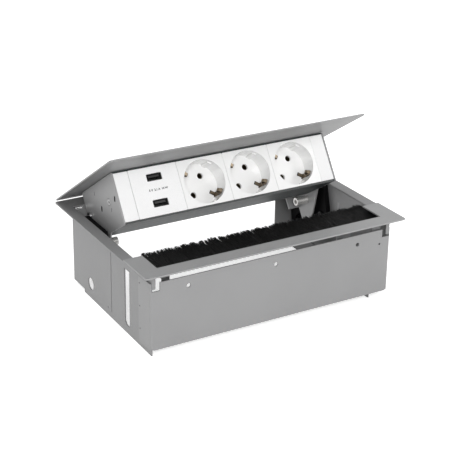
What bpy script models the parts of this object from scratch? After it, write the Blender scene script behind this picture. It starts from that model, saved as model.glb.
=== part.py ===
"""In-desk power module with a flip-up socket housing.

A folded steel frame hangs in a desk cut-out by its flange. Its lid turns about two knuckle hinges
at the rear and carries a housing with three earthed sockets and a twin charging port.
A brush strip closes the cable slot at the front.

Frame: metres, +Z up, +X along the module, +Y towards the hinge. The origin is the middle of the
front flange strip's underside, on the desk top. The lid is modelled shut, about its hinge, and
the hinge empty turns it to the open pose.
"""
import math

import bpy
import bmesh
from mathutils import Matrix, Vector

# gaps between pieces
SEAT_GAP = 0.0003
RUN_GAP = 0.0005

# folded frame
SHEET = 0.001
SIDE_OVERHANG = 0.0097
FLANGE_DEPTH = 0.178
FLANGE_SETBACK = 0.003
FLANGE_CORNER = 0.002
FRONT_OVERHANG = 0.0096
REAR_OVERHANG = 0.017
SIDE_SPACE = 0.0087
WALL_HEIGHT = 0.0722
REAR_STEP_HEIGHT = 0.0029
REAR_STEP_DEPTH = 0.021
REAR_LIP_WIDTH = 0.018
FOLD_RADIUS = 0.0012
TAB_WIDTH = 0.0034
TAB_DROP = 0.0132
BRUSH_LIP = 0.0039
WALL_NOTCH = (0.014, 0.0055)

# openings in the side walls, measured from the rear flange edge, and from the flange underside (top) or
# up from the wall's lower edge (foot, rise)
SLOT_FROM_REAR = 0.1239
SLOT_WIDTH = 0.0088
SLOT_TOP = 0.0147
SLOT_FOOT = 0.007
SLOT_CHAMFER = 0.003
SLIT_FROM_REAR = 0.0939
SLIT_WIDTH = 0.0011
SLIT_TOP = 0.0113
SLIT_FOOT = 0.0054
PORT_FROM_REAR = 0.052
PORT_RISE = 0.0138
PORT_RADIUS = 0.0055
PIP_FROM_REAR = 0.0869
PIP_RISE = 0.0071
PIP_RADIUS = 0.0008

# front panel
PANEL_DROP = 0.008
PANEL_FOOT = 0.0052
PANEL_RETURN = 0.021
PANEL_BEND = 0.0018
PANEL_CORNER = 0.004
PANEL_NOTCH_GAP = 0.0039
PANEL_NOTCH_DROP = 0.002
PANEL_HOLE_INSET = 0.0328
PANEL_HOLE_DROP = 0.0086
PANEL_HOLE_RADIUS = 0.0018
PANEL_PIN_HOLE_INSET = 0.0096
PANEL_PIN_HOLE_DROP = 0.013
PANEL_PIN_HOLE_RADIUS = 0.001
WELD_INSET = 0.0023
WELD_DROP = 0.0065
WELD_PITCH = 0.0202
WELD_RADIUS = 0.0007

# front trim and brush
TRIM_DEPTH = 0.040
TRIM_THICKNESS = 0.0012
TRIM_ARM = 0.0167
TRIM_BAND = 0.0142
TRIM_FILLET = 0.0005
HOLDER_DEPTH = 0.0046
HOLDER_HEIGHT = 0.0034
HOLDER_WALL = 0.0006
BRUSH_RIGHT_RUN = 0.005
BRISTLE_REACH = 0.0345
BRISTLE_THICKNESS = 0.0027
BRISTLE_DROP = 0.0020
BRISTLE_ROOT = 0.0016
BRISTLE_LEAN = 0.003
TUFT_COUNT = 52
TUFT_RAGGEDNESS = 0.0028
BRACKET_INSET = 0.0154
BRACKET_FOOT = 0.008
BRACKET_DEPTH = 0.014
BRACKET_FOOT_RISE = 0.001
LEFT_BRACKET_FOOT = 0.0102
LEFT_WINDOW = (0.0016, 0.0095)
RIGHT_LEG_DEPTH = 0.030
RAIL_END_GAP = 0.0008
RAIL_HEIGHT = 0.0165
RAIL_REAR_GAP = 0.006

# hinge
OPEN_ANGLE = math.radians(33.3)
HINGE_BEHIND = 0.001
HINGE_INSET = 0.0443
KNUCKLE_WALL = 0.00095
FRAME_KNUCKLE = 0.012
LID_KNUCKLE = 0.015
STOP_PIN_RADIUS = 0.0012
STOP_PIN_LENGTH = 0.0065
STOP_PIN_DROP = 0.0004
STOP_PIN_GAP = 0.0005

# lid
LID_THICKNESS = 0.0012
LID_SIDE_INSET = 0.0014
LID_FRONT_GAP = 0.0006
LID_CORNER = 0.003

# housing under the lid: s runs forward from the hinge, d runs down from the lid's underside
MODULE_PITCH = 0.045
COVER_CORNER = 0.0006
MODULE_COUNT = 4
END_CAP_WIDTH = 0.0131
FACE_S = 0.0917
FACE_TOP = 0.0016
FACE_HEIGHT = 0.0418
FACE_THICKNESS = 0.0025
PROFILE_WALL = 0.0015
PROFILE_ROOF = 0.001
PROFILE_BACK_S = 0.024
PROFILE_BACK_D = 0.0285
PROFILE_HEEL_S = 0.040
PROFILE_INSET = 0.0007
PROFILE_CORNERS = (0, 0.002, 0.003, 0.002, 0, 0, 0.001, 0.002, 0.001, 0)
CHANNEL_RADIUS = 0.0030

# sockets
WELL_RADIUS = 0.0193
WELL_WALL = 0.0012
WELL_DEPTH = 0.0172
WELL_FLOOR = 0.002
WELL_RIB_WIDTH = 0.004
WELL_RIB_HEIGHT = 0.0012
WELL_RIB_TOP = 0.004
PIN_SPACING = 0.019
PIN_HOLE_RADIUS = 0.00275
PIN_ANGLE = math.radians(35)
CONTACT_RADIUS = 0.0030
CONTACT_WALL = 0.0005
CONTACT_LENGTH = 0.012
CLIP_WIDTH = 0.005
CLIP_THICKNESS = 0.0008
CLIP_BULGE = 0.0035
CLIP_TIP_DEPTH = 0.0030
CLIP_BELLY = (0.0038, 0.0055)
CLIP_SHOULDER = 0.0105
BASE_DEPTH = 0.017
BASE_INSET = 0.0012

# charging ports
PORT_OPENING = (0.0142, 0.0063)
PORT_SHELL_WALL = 0.0003
PORT_DEPTH = 0.0125
PORT_OFFSETS = (-0.0118, 0.0105)
TONGUE_SIZE = (0.0102, 0.0018)
TONGUE_DEPTH = 0.0085
BOARD_INSET = (0.0025, 0.0029)
BOARD_THICKNESS = 0.0016
TONGUE_ROOT = 0.003
TONGUE_DROP = 0.0004
PORT_CORNER = 0.0006
SHELL_CORNERS = (0.0004, 0.0002)

# end plates and what they carry
END_PLATE_SHEET = 0.0012
END_PLATE_BACK_S = 0.0197
END_PLATE_ROOF = 0.0006
END_PLATE_FRONT = 0.0003
LOBE_FRONT_S = 0.0600
LOBE_SLOPE_DROP = 0.0188
LOBE_TIP_S = 0.0400
LOBE_DROP = 0.0238
LOBE_TIP_RUN = 0.009
END_PLATE_CORNERS = (0.002, 0.001, 0.0015, 0.003, 0.004, 0.004, 0.006)
TAB_FOLD_WIDTH = 0.0115
TAB_FOLD_TOP = 0.030
TAB_FOLD_DROP = 0.0083
END_SCREW = (0.0720, 0.0212)
END_SCREW_RADIUS = 0.0025
END_SCREW_TAPER = 0.0009
END_SCREW_STEM = 0.0013
END_SCREW_LENGTH = 0.009
END_SCREW_SINK = 0.0002
DIMPLE_RADIUS = 0.0034
DIMPLE_BORE = 0.0022
CAP_BORE = 0.0023
CAP_REACH = 0.008
CAP_EDGE = 0.0004
VENTS = ((0.0539, 0.0229), (0.0857, 0.0217))
VENT_SIZE = (0.0054, 0.0026)
SLITS = ((0.0461, 0.0078), (0.0738, 0.0284))
SLIT_SIZE = (0.004, 0.001)
REAR_SCREW = (0.0264, 0.0226)
REAR_SCREW_RADIUS = 0.0030
REAR_SCREW_HEAD = 0.0018
REAR_SCREW_STEM = 0.0014
REAR_SCREW_LENGTH = 0.010
GUIDE_BOLT_S = 0.0367
GUIDE_BOLT_DROP = 0.0047
GUIDE_BOLT_RADIUS = 0.0037
GUIDE_BOLT_REACH = 0.0122
GUIDE_BOLT_SHANK = 0.0030
BUSH_RADIUS = 0.005
HEX_ACROSS = 0.0040
HEX_DEPTH = 0.004

# guide plates on the side walls
GUIDE_SHEET = 0.0045
GUIDE_SKIN = 0.0008
GUIDE_TOP_DROP = 0.0006
GUIDE_TOP_FRONT = 0.019
GUIDE_TOP_REAR = 0.020
GUIDE_ARM_DROP = 0.007
GUIDE_NOSE = (0.0264, 0.0089, 0.0229)
GUIDE_CHIN = (0.0024, 0.0249)
GUIDE_CORNERS = (0.002, 0.004, 0.004, 0.003, 0.002, 0.002, 0.004, 0.006, 0.004, 0.001, 0.001)
GUIDE_HEEL_FRONT = (0.0103, 0.0024)
GUIDE_HEEL_LOW = (0.0063, 0.0097, 0.0084)
GUIDE_HEEL_REAR = (0.0117, 0.0096)
GUIDE_WAIST = 0.0126
GUIDE_SCREWS = ((-0.017, -0.009), (0.0174, -0.0024))
GUIDE_SCREW_RADIUS = 0.0024
GUIDE_SCREW_STEM = 0.0013
GUIDE_SCREW_HEAD = 0.0015

# supply inlet at the back of the housing
INLET_SIZE = (0.026, 0.016, 0.016)
INLET_X = 0.050
INLET_D = 0.0105
INLET_STANDS_OUT = 0.0045
INLET_WALL = 0.0015
INLET_FLOOR = 0.003
INLET_PITCH = 0.007
INLET_PIN_RADIUS = 0.0012
INLET_PIN_LENGTH = 0.010

# places that follow from the sizes
Z_TOP = SHEET
Y_FRONT_EDGE = -FRONT_OVERHANG / 2
Y_REAR_EDGE = Y_FRONT_EDGE + FLANGE_DEPTH
Y_PANEL_FACE = Y_FRONT_EDGE + FRONT_OVERHANG
Y_PANEL_BACK = Y_PANEL_FACE + SHEET
Y_WALL_FRONT = Y_PANEL_BACK + SEAT_GAP
Y_WALL_REAR = Y_REAR_EDGE - REAR_OVERHANG
Y_OPENING_FRONT = Y_PANEL_FACE + BRUSH_LIP
HOUSING_HALF = MODULE_COUNT * MODULE_PITCH / 2 + END_CAP_WIDTH
PLATE_IN = HOUSING_HALF + SEAT_GAP
PLATE_OUT = PLATE_IN + END_PLATE_SHEET
WALL_IN = PLATE_OUT + SIDE_SPACE
WALL_OUT = WALL_IN + SHEET
FLANGE_LENGTH = 2 * (WALL_OUT + SIDE_OVERHANG)
LID_LENGTH = FLANGE_LENGTH - 2 * LID_SIDE_INSET
BRUSH_SLOT_LENGTH = FLANGE_LENGTH - 2 * TRIM_ARM
BRACKET_X = WALL_IN - BRACKET_INSET
HINGE_X = WALL_OUT - HINGE_INSET
PANEL_HOLE_SPACING = WALL_OUT - PANEL_HOLE_INSET
PANEL_PIN_HOLE_X = WALL_OUT - PANEL_PIN_HOLE_INSET
Z_TRIM = Z_TOP + SEAT_GAP
Y_TRIM_REAR = Y_FRONT_EDGE + TRIM_DEPTH
Y_BRUSH_FRONT = Y_FRONT_EDGE + TRIM_BAND
Y_AXIS = Y_REAR_EDGE + HINGE_BEHIND
Z_AXIS = Z_TOP + SEAT_GAP + LID_THICKNESS / 2
KNUCKLE_RADIUS = Z_AXIS
KNUCKLE_BORE = KNUCKLE_RADIUS - KNUCKLE_WALL
HINGE_PIN_RADIUS = KNUCKLE_BORE - SEAT_GAP
LID_DEPTH = Y_AXIS - Y_TRIM_REAR - LID_FRONT_GAP
FACE_BOTTOM = FACE_TOP + FACE_HEIGHT
UNDERSIDE = FACE_BOTTOM + SEAT_GAP + PROFILE_WALL
SLOT_HEIGHT = WALL_HEIGHT - SLOT_TOP - SLOT_FOOT
SLIT_HEIGHT = WALL_HEIGHT - SLIT_TOP - SLIT_FOOT
PORT_DROP = WALL_HEIGHT - PORT_RISE
PIP_DROP = WALL_HEIGHT - PIP_RISE
PANEL_HEIGHT = WALL_HEIGHT - PANEL_DROP - PANEL_FOOT
LEFT_BRACKET_DROP = WALL_HEIGHT - LEFT_BRACKET_FOOT
PORT_CENTRES_D = [FACE_TOP + FACE_HEIGHT / 2 + offset for offset in PORT_OFFSETS]
LOBE_SLOPE_D = UNDERSIDE + LOBE_SLOPE_DROP
LOBE_DEPTH = UNDERSIDE + LOBE_DROP
TAB_FOLD_BOTTOM = UNDERSIDE + TAB_FOLD_DROP
GUIDE_BOLT = (GUIDE_BOLT_S, UNDERSIDE + GUIDE_BOLT_DROP)
GUIDE_OUT = WALL_IN - SEAT_GAP
GUIDE_IN = GUIDE_OUT - GUIDE_SHEET
GUIDE_FLOOR = GUIDE_OUT - GUIDE_SKIN

BIG = 0.02
OVERLAP = 0.001

product = bpy.data.collections.new("in_desk_power_module")
cutters = bpy.data.collections.new("cutters")


def start_scene():
    """Clear the scene and add the two collections."""
    for item in list(bpy.data.objects):
        bpy.data.objects.remove(item, do_unlink=True)
    bpy.context.scene.collection.children.link(product)
    bpy.context.scene.collection.children.link(cutters)


def material(name, colour, roughness, metallic=0.0):
    """A Principled material for one piece."""
    made = bpy.data.materials.new(name)
    made.use_nodes = True
    shader = made.node_tree.nodes["Principled BSDF"]
    shader.inputs["Base Color"].default_value = (*colour, 1.0)
    shader.inputs["Roughness"].default_value = roughness
    shader.inputs["Metallic"].default_value = metallic
    return made


def add_object(name, mesh, collection=product):
    """Wrap a mesh in an object of the given collection."""
    made = bpy.data.objects.new(name, mesh)
    collection.objects.link(made)
    return made


def finish(item, colour, roughness, metallic=0.0, parent=None, smooth=True):
    """Give a piece its material, shading and parent."""
    item.data.materials.clear()
    item.data.materials.append(material(item.name, colour, roughness, metallic))
    if smooth:
        item.data.shade_smooth()
        item.data.set_sharp_from_angle(angle=math.radians(35))
    if parent is not None:
        item.parent = parent
    return item


def box(name, low, high, collection=product):
    """A box between two corners."""
    mesh = bpy.data.meshes.new(name)
    shape = bmesh.new()
    bmesh.ops.create_cube(shape, size=1.0)
    for vertex in shape.verts:
        vertex.co = [low[axis] if vertex.co[axis] < 0 else high[axis] for axis in range(3)]
    shape.to_mesh(mesh)
    shape.free()
    return add_object(name, mesh, collection)


def rod(name, centre, radius, length, axis="X", sides=32, end_radius=None, collection=product):
    """A cylinder or cone about an axis through its centre, radius at the low end."""
    mesh = bpy.data.meshes.new(name)
    shape = bmesh.new()
    far = radius if end_radius is None else end_radius
    bmesh.ops.create_cone(shape, cap_ends=True, segments=sides, radius1=radius, radius2=far, depth=1.0)
    order = {"X": (2, 0, 1), "Y": (1, 2, 0), "Z": (0, 1, 2)}[axis]
    index = "XYZ".index(axis)
    ends = (centre[index] - length / 2, centre[index] + length / 2)
    for vertex in shape.verts:
        across = vertex.co.z > 0
        turned_to = Vector([vertex.co[k] for k in order]) + Vector(centre)
        turned_to[index] = ends[across]
        vertex.co = turned_to
    shape.normal_update()
    bmesh.ops.recalc_face_normals(shape, faces=shape.faces)
    shape.to_mesh(mesh)
    shape.free()
    return add_object(name, mesh, collection)


def rounded(corners, radii, steps=5):
    """Points of a closed outline whose corners are arcs of the given radii."""
    points = []
    count = len(corners)
    for index, radius in enumerate(radii):
        corner = Vector(corners[index])
        before = (Vector(corners[index - 1]) - corner).normalized()
        after = (Vector(corners[(index + 1) % count]) - corner).normalized()
        if radius <= 0:
            points.append(tuple(corner))
            continue
        half = before.angle(after) / 2
        centre = corner + (before + after).normalized() * (radius / math.sin(half))
        first = corner + before * (radius / math.tan(half)) - centre
        last = corner + after * (radius / math.tan(half)) - centre
        start = math.atan2(first.y, first.x)
        sweep = (math.atan2(last.y, last.x) - start + math.pi) % (2 * math.pi) - math.pi
        for step in range(steps + 1):
            angle = start + sweep * step / steps
            points.append((centre.x + radius * math.cos(angle), centre.y + radius * math.sin(angle)))
    return points


def rectangle(u_low, u_high, v_low, v_high, radius=0.0):
    """The outline of a rectangle with rounded corners."""
    corners = [(u_low, v_low), (u_high, v_low), (u_high, v_high), (u_low, v_high)]
    return rounded(corners, [radius] * 4)


def circle(centre, radius, sides=32):
    """The outline of a circle."""
    turns = [2 * math.pi * step / sides for step in range(sides)]
    return [(centre[0] + radius * math.cos(turn), centre[1] + radius * math.sin(turn)) for turn in turns]


def plate(name, loops, low, high, plane="XY", collection=product):
    """A flat outline, holes included, filled and extruded from low to high across its plane."""
    curve = bpy.data.curves.new(name, "CURVE")
    curve.dimensions = "2D"
    curve.fill_mode = "BOTH"
    curve.extrude = abs(high - low) / 2
    for loop in loops:
        spline = curve.splines.new("POLY")
        spline.points.add(len(loop) - 1)
        for point, (u, v) in zip(spline.points, loop):
            point.co = (u, v, 0.0, 1.0)
        spline.use_cyclic_u = True
    guide = bpy.data.objects.new(name + "_outline", curve)
    cutters.objects.link(guide)
    graph = bpy.context.evaluated_depsgraph_get()
    mesh = bpy.data.meshes.new_from_object(guide.evaluated_get(graph))
    mesh.name = name
    bpy.data.objects.remove(guide, do_unlink=True)
    bpy.data.curves.remove(curve)
    shape = bmesh.new()
    shape.from_mesh(mesh)
    bmesh.ops.remove_doubles(shape, verts=shape.verts, dist=1e-6)
    for vertex in shape.verts:
        u, v, level = vertex.co.x, vertex.co.y, high if vertex.co.z > 0 else low
        vertex.co = {"XY": (u, v, level), "XZ": (u, level, v), "YZ": (level, u, v)}[plane]
    shape.normal_update()
    bmesh.ops.recalc_face_normals(shape, faces=shape.faces)
    shape.to_mesh(mesh)
    shape.free()
    return add_object(name, mesh, collection)


def combine(target, other, operation):
    """Cut or join another solid, kept as a hidden guide, with a Boolean modifier."""
    for group in list(other.users_collection):
        group.objects.unlink(other)
    cutters.objects.link(other)
    other.hide_render = True
    other.display_type = "WIRE"
    step = target.modifiers.new(operation.lower(), "BOOLEAN")
    step.operation = operation
    step.solver = "EXACT"
    step.object = other
    return target


def cut(target, *others):
    """Take the other solids away from the target."""
    for other in others:
        combine(target, other, "DIFFERENCE")
    return target


def join(target, *others):
    """Fuse the other solids with the target."""
    for other in others:
        combine(target, other, "UNION")
    return target


def settle(item):
    """Turn an object's modifiers into mesh, and remove the guides that they used."""
    guides = [step.object for step in item.modifiers if step.type == "BOOLEAN"]
    graph = bpy.context.evaluated_depsgraph_get()
    mesh = bpy.data.meshes.new_from_object(item.evaluated_get(graph))
    item.modifiers.clear()
    old = item.data
    item.data = mesh
    mesh.name = item.name
    bpy.data.meshes.remove(old)
    for guide in guides:
        bpy.data.objects.remove(guide, do_unlink=True)
    return item


def soften(item, width, segments=2, angle=40):
    """Round the sharp edges of a piece."""
    step = item.modifiers.new("edges", "BEVEL")
    step.width = width
    step.segments = segments
    step.limit_method = "ANGLE"
    step.angle_limit = math.radians(angle)
    return item


def lid_y(s):
    """Local Y of a point s in front of the hinge axis, lid shut."""
    return -s


def lid_z(d):
    """Local Z of a point d below the lid's underside, lid shut."""
    return -(d + LID_THICKNESS / 2)


def section(points):
    """Points given as s and d, as local Y and Z."""
    return [(lid_y(s), lid_z(d)) for s, d in points]


def open_place(s, d):
    """Y and Z, in the frame, of a lid point when the lid stands open."""
    y = lid_y(s) * math.cos(OPEN_ANGLE) + lid_z(d) * math.sin(OPEN_ANGLE)
    z = -lid_y(s) * math.sin(OPEN_ANGLE) + lid_z(d) * math.cos(OPEN_ANGLE)
    return Y_AXIS + y, Z_AXIS + z


def turned(points, centre, angle):
    """Points turned about a centre."""
    cosine, sine = math.cos(angle), math.sin(angle)
    moved = []
    for u, v in points:
        du, dv = u - centre[0], v - centre[1]
        moved.append((centre[0] + du * cosine - dv * sine, centre[1] + du * sine + dv * cosine))
    return moved


def arc_slot(centre, radius, start, end, half_width, steps=16):
    """The outline of a slot of even width along an arc, with round ends."""
    def on_arc(reach, angle):
        return centre[0] + reach * math.cos(angle), centre[1] + reach * math.sin(angle)
    sweep = end - start
    outer = [on_arc(radius + half_width, start + sweep * k / steps) for k in range(steps + 1)]
    inner = [on_arc(radius - half_width, end - sweep * k / steps) for k in range(steps + 1)]
    side = math.copysign(1.0, sweep)
    last, first = on_arc(radius, end), on_arc(radius, start)
    ends = ([], [])
    for k in range(1, 8):
        half_turn = side * math.pi * k / 8
        ends[0].append((last[0] + half_width * math.cos(end + half_turn),
                        last[1] + half_width * math.sin(end + half_turn)))
        ends[1].append((first[0] + half_width * math.cos(start + math.pi + half_turn),
                        first[1] + half_width * math.sin(start + math.pi + half_turn)))
    return outer + ends[0] + inner + ends[1]


def hinge_spans():
    """The two hinges' middles, with the span of the lid knuckle and of the two frame knuckles."""
    spans = []
    half = LID_KNUCKLE / 2
    for side in (-1, 1):
        middle = side * HINGE_X
        lid_span = (middle - half, middle + half)
        left = (middle - half - RUN_GAP - FRAME_KNUCKLE, middle - half - RUN_GAP)
        right = (middle + half + RUN_GAP, middle + half + RUN_GAP + FRAME_KNUCKLE)
        spans.append((middle, lid_span, (left, right)))
    return spans


def frame_knuckle(span):
    """A flange strip that curls round the hinge pin over a span in X."""
    contact = math.asin((Z_AXIS - Z_TOP) / KNUCKLE_RADIUS)
    start, end = -math.pi / 2, math.pi + contact
    outline = [(Y_REAR_EDGE - SHEET, 0.0)]
    for k in range(25):
        angle = start + (end - start) * k / 24
        outline.append((Y_AXIS + KNUCKLE_RADIUS * math.cos(angle), Z_AXIS + KNUCKLE_RADIUS * math.sin(angle)))
    outline[1] = (Y_AXIS, 0.0)
    outline[-1] = (outline[-1][0], Z_TOP)
    outline.append((Y_REAR_EDGE - SHEET, Z_TOP))
    return plate("frame_knuckle", [outline, circle((Y_AXIS, Z_AXIS), KNUCKLE_BORE)], *span, "YZ")


def frame_side(side):
    """One side wall with its rear lip and front tab, bent from one strip, full height."""
    low, high = WALL_OUT - TAB_WIDTH, WALL_IN - REAR_LIP_WIDTH
    lip = Y_WALL_REAR + SHEET
    corners = [(WALL_OUT, Y_PANEL_FACE), (WALL_OUT, lip), (high, lip), (high, Y_WALL_REAR),
               (WALL_IN, Y_WALL_REAR),
               (WALL_IN, Y_PANEL_BACK), (low, Y_PANEL_BACK), (low, Y_PANEL_FACE)]
    outline = [(side * x, y) for x, y in corners]
    wall = plate("side_wall", [outline], -WALL_HEIGHT, SHEET / 2)
    under_tab = box("under_tab", (-FLANGE_LENGTH, Y_PANEL_FACE - BIG, -WALL_HEIGHT - BIG),
                    (FLANGE_LENGTH, Y_WALL_FRONT, -TAB_DROP))
    step_front = Y_WALL_REAR - REAR_STEP_DEPTH
    under_rear = box("under_rear", (-FLANGE_LENGTH, step_front, -WALL_HEIGHT - BIG),
                     (FLANGE_LENGTH, Y_REAR_EDGE + BIG, -WALL_HEIGHT + REAR_STEP_HEIGHT))
    cut(wall, under_tab, under_rear)
    if side > 0:
        cut(wall, box("corner_notch", (0.0, Y_PANEL_FACE - BIG, -WALL_HEIGHT - BIG),
                      (FLANGE_LENGTH, Y_WALL_FRONT + WALL_NOTCH[0], -WALL_HEIGHT + WALL_NOTCH[1])))
    return settle(wall)


def make_frame_sheet():
    """Flange, side walls, rear lips, front tabs and hinge knuckles, folded from one sheet."""
    half = FLANGE_LENGTH / 2
    outer = rectangle(-half, half, Y_FRONT_EDGE + FLANGE_SETBACK, Y_REAR_EDGE, FLANGE_CORNER)
    frame = plate("frame_sheet", [outer], 0.0, SHEET)
    for side in (-1, 1):
        join(frame, frame_side(side))
    cut(frame, box("opening", (-WALL_IN, Y_OPENING_FRONT, -SHEET), (WALL_IN, Y_WALL_REAR, BIG)))
    room = KNUCKLE_RADIUS + RUN_GAP
    for middle, lid_span, frame_spans in hinge_spans():
        for span in frame_spans:
            join(frame, frame_knuckle(span))
        cut(frame, box("knuckle_room", (lid_span[0] - RUN_GAP / 2, Y_AXIS - room, -BIG),
                       (lid_span[1] + RUN_GAP / 2, Y_AXIS + BIG, BIG)))
    for side in (-1, 1):
        cut(frame, fold_relief(side))
    cut_wall_openings(frame)
    return finish(frame, (0.33, 0.335, 0.34), 0.45, 0.0)


def fold_relief(side):
    """What a bend of the fold radius leaves off the opening's long square edge."""
    corner = (WALL_IN + FOLD_RADIUS, Z_TOP - FOLD_RADIUS)
    outline = [(WALL_IN - BIG, corner[1])]
    for k in range(7):
        angle = math.pi - math.pi / 2 * k / 6
        outline.append((corner[0] + FOLD_RADIUS * math.cos(angle), corner[1] + FOLD_RADIUS * math.sin(angle)))
    outline += [(corner[0], BIG), (WALL_IN - BIG, BIG)]
    outline = [(side * x, z) for x, z in outline]
    return plate("fold_relief", [outline], Y_OPENING_FRONT - SHEET, Y_WALL_REAR, "XZ")


def cut_wall_openings(frame):
    """Cable port, seam slit, clamp slot and pip hole, the same in both side walls."""
    reach = FLANGE_LENGTH / 2
    slot_rear = Y_REAR_EDGE - SLOT_FROM_REAR + SLOT_WIDTH / 2
    slot_low = -SLOT_TOP - SLOT_HEIGHT
    slot = [(slot_rear - SLOT_WIDTH, -SLOT_TOP), (slot_rear - SLOT_WIDTH, slot_low),
            (slot_rear - SLOT_CHAMFER, slot_low), (slot_rear, slot_low + SLOT_CHAMFER),
            (slot_rear, -SLOT_TOP)]
    cut(frame, plate("clamp_slot", [slot], -reach, reach, "YZ"))
    slit_y = Y_REAR_EDGE - SLIT_FROM_REAR
    cut(frame, box("seam_slit", (-reach, slit_y - SLIT_WIDTH / 2, -SLIT_TOP - SLIT_HEIGHT),
                   (reach, slit_y + SLIT_WIDTH / 2, -SLIT_TOP)))
    port = (0.0, Y_REAR_EDGE - PORT_FROM_REAR, -PORT_DROP)
    cut(frame, rod("cable_port", port, PORT_RADIUS, 2 * reach))
    pip = (0.0, Y_REAR_EDGE - PIP_FROM_REAR, -PIP_DROP)
    cut(frame, rod("pip_hole", pip, PIP_RADIUS, 2 * reach, sides=12))


def make_front_panel():
    """The front sheet, bent back over both side walls."""
    out = WALL_OUT + SEAT_GAP + SHEET
    back = Y_PANEL_FACE + PANEL_RETURN
    bend = PANEL_BEND
    inner = bend - SHEET
    corners = [(-out, back), (-out, Y_PANEL_FACE), (out, Y_PANEL_FACE), (out, back),
               (out - SHEET, back), (out - SHEET, Y_PANEL_BACK), (-out + SHEET, Y_PANEL_BACK),
                (-out + SHEET, back)]
    outline = rounded(corners, [0, bend, bend, 0, 0, inner, inner, 0])
    bottom = -PANEL_DROP - PANEL_HEIGHT
    panel = plate("front_panel", [outline], bottom, -PANEL_DROP)
    front = (Y_PANEL_FACE - BIG, Y_PANEL_BACK + SHEET)
    for side in (-1, 1):
        notch_in = WALL_OUT - TAB_WIDTH - PANEL_NOTCH_GAP
        notch_out = WALL_OUT + SEAT_GAP / 2
        low, high = sorted((side * notch_in, side * notch_out))
        cut(panel, box("tab_notch", (low, front[0], -TAB_DROP - PANEL_NOTCH_DROP), (high, front[1], BIG)))
        corner = [(side * (out + BIG), bottom - BIG), (side * (out + BIG), bottom + PANEL_CORNER),
                  (side * out, bottom + PANEL_CORNER)]
        for k in range(1, 8):
            angle = math.pi / 2 * k / 8
            corner.append((side * (out - PANEL_CORNER * (1 - math.cos(angle))),
                           bottom + PANEL_CORNER * (1 - math.sin(angle))))
        corner += [(side * (out - PANEL_CORNER), bottom), (side * (out - PANEL_CORNER), bottom - BIG)]
        cut(panel, plate("panel_corner", [corner], Y_PANEL_FACE - BIG, Y_PANEL_BACK, "XZ"))
    for x in (-PANEL_HOLE_SPACING, 0.0, PANEL_HOLE_SPACING):
        place = (x, Y_PANEL_FACE, -PANEL_DROP - PANEL_HOLE_DROP)
        cut(panel, rod("panel_hole", place, PANEL_HOLE_RADIUS, BIG, "Y", 24))
    place = (PANEL_PIN_HOLE_X, Y_PANEL_FACE, -PANEL_DROP - PANEL_PIN_HOLE_DROP)
    cut(panel, rod("pin_hole", place, PANEL_PIN_HOLE_RADIUS, BIG, "Y", 16))
    for k in range(3):
        place = (0.0, back - WELD_INSET, -PANEL_DROP - WELD_DROP - WELD_PITCH * k)
        cut(panel, rod("weld_hole", place, WELD_RADIUS, 3 * out, "X", 12))
    return finish(panel, (0.37, 0.37, 0.375), 0.45)


def make_front_trim():
    """The fixed cover strip that frames the brush, level with the closed lid."""
    half = FLANGE_LENGTH / 2
    arm = BRUSH_SLOT_LENGTH / 2
    corners = [(-half, Y_FRONT_EDGE), (half, Y_FRONT_EDGE), (half, Y_TRIM_REAR), (arm, Y_TRIM_REAR),
               (arm, Y_BRUSH_FRONT), (-arm, Y_BRUSH_FRONT), (-arm, Y_TRIM_REAR), (-half, Y_TRIM_REAR)]
    outline = rounded(corners, [FLANGE_CORNER, FLANGE_CORNER, 0, 0, TRIM_FILLET, TRIM_FILLET, 0, 0])
    trim = plate("front_trim", [outline], Z_TRIM, Z_TRIM + TRIM_THICKNESS)
    return finish(trim, (0.35, 0.355, 0.36), 0.45)


def make_brush():
    """The holder strip under the trim, and the bristles that close the cable slot."""
    half = BRUSH_SLOT_LENGTH / 2 - SEAT_GAP
    right = half + BRUSH_RIGHT_RUN
    web = Y_WALL_FRONT + SEAT_GAP
    mouth = web + HOLDER_DEPTH
    top = -SEAT_GAP
    low = top - HOLDER_HEIGHT
    wall = HOLDER_WALL
    profile = [(web, low), (mouth, low), (mouth, low + wall), (web + wall, low + wall),
               (web + wall, top - wall), (mouth, top - wall), (mouth, top), (web, top)]
    holder = plate("brush_holder", [profile], -half, right, "YZ")
    finish(holder, (0.02, 0.02, 0.02), 0.5)

    root_y = web + wall + SEAT_GAP
    start = mouth + SEAT_GAP
    middle = (low + top) / 2
    bristles_top = Z_TOP - BRISTLE_DROP
    root = box("bristle_root", (-half, root_y, middle - BRISTLE_ROOT / 2),
               (right, start + wall, middle + BRISTLE_ROOT / 2))
    outline = [(right, start), (-half, start)]
    pitch = (right + half - BRISTLE_LEAN) / TUFT_COUNT
    for k in range(TUFT_COUNT):
        sway = 0.6 * math.sin(2.4 * k) + 0.4 * math.sin(5.3 * k + 1.0)
        tip = start + BRISTLE_REACH + TUFT_RAGGEDNESS * sway
        left = -half + pitch * k + BRISTLE_LEAN
        outline.append((left, tip - TUFT_RAGGEDNESS))
        outline.append((left + pitch * 0.35, tip))
        outline.append((left + pitch * 0.75, tip - 0.3 * TUFT_RAGGEDNESS))
    outline.append((right, start + BRISTLE_REACH - TUFT_RAGGEDNESS))
    bristles = plate("brush_bristles", [outline], bristles_top - BRISTLE_THICKNESS, bristles_top)
    join(bristles, root)
    finish(bristles, (0.008, 0.008, 0.008), 0.8, smooth=False)


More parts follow.
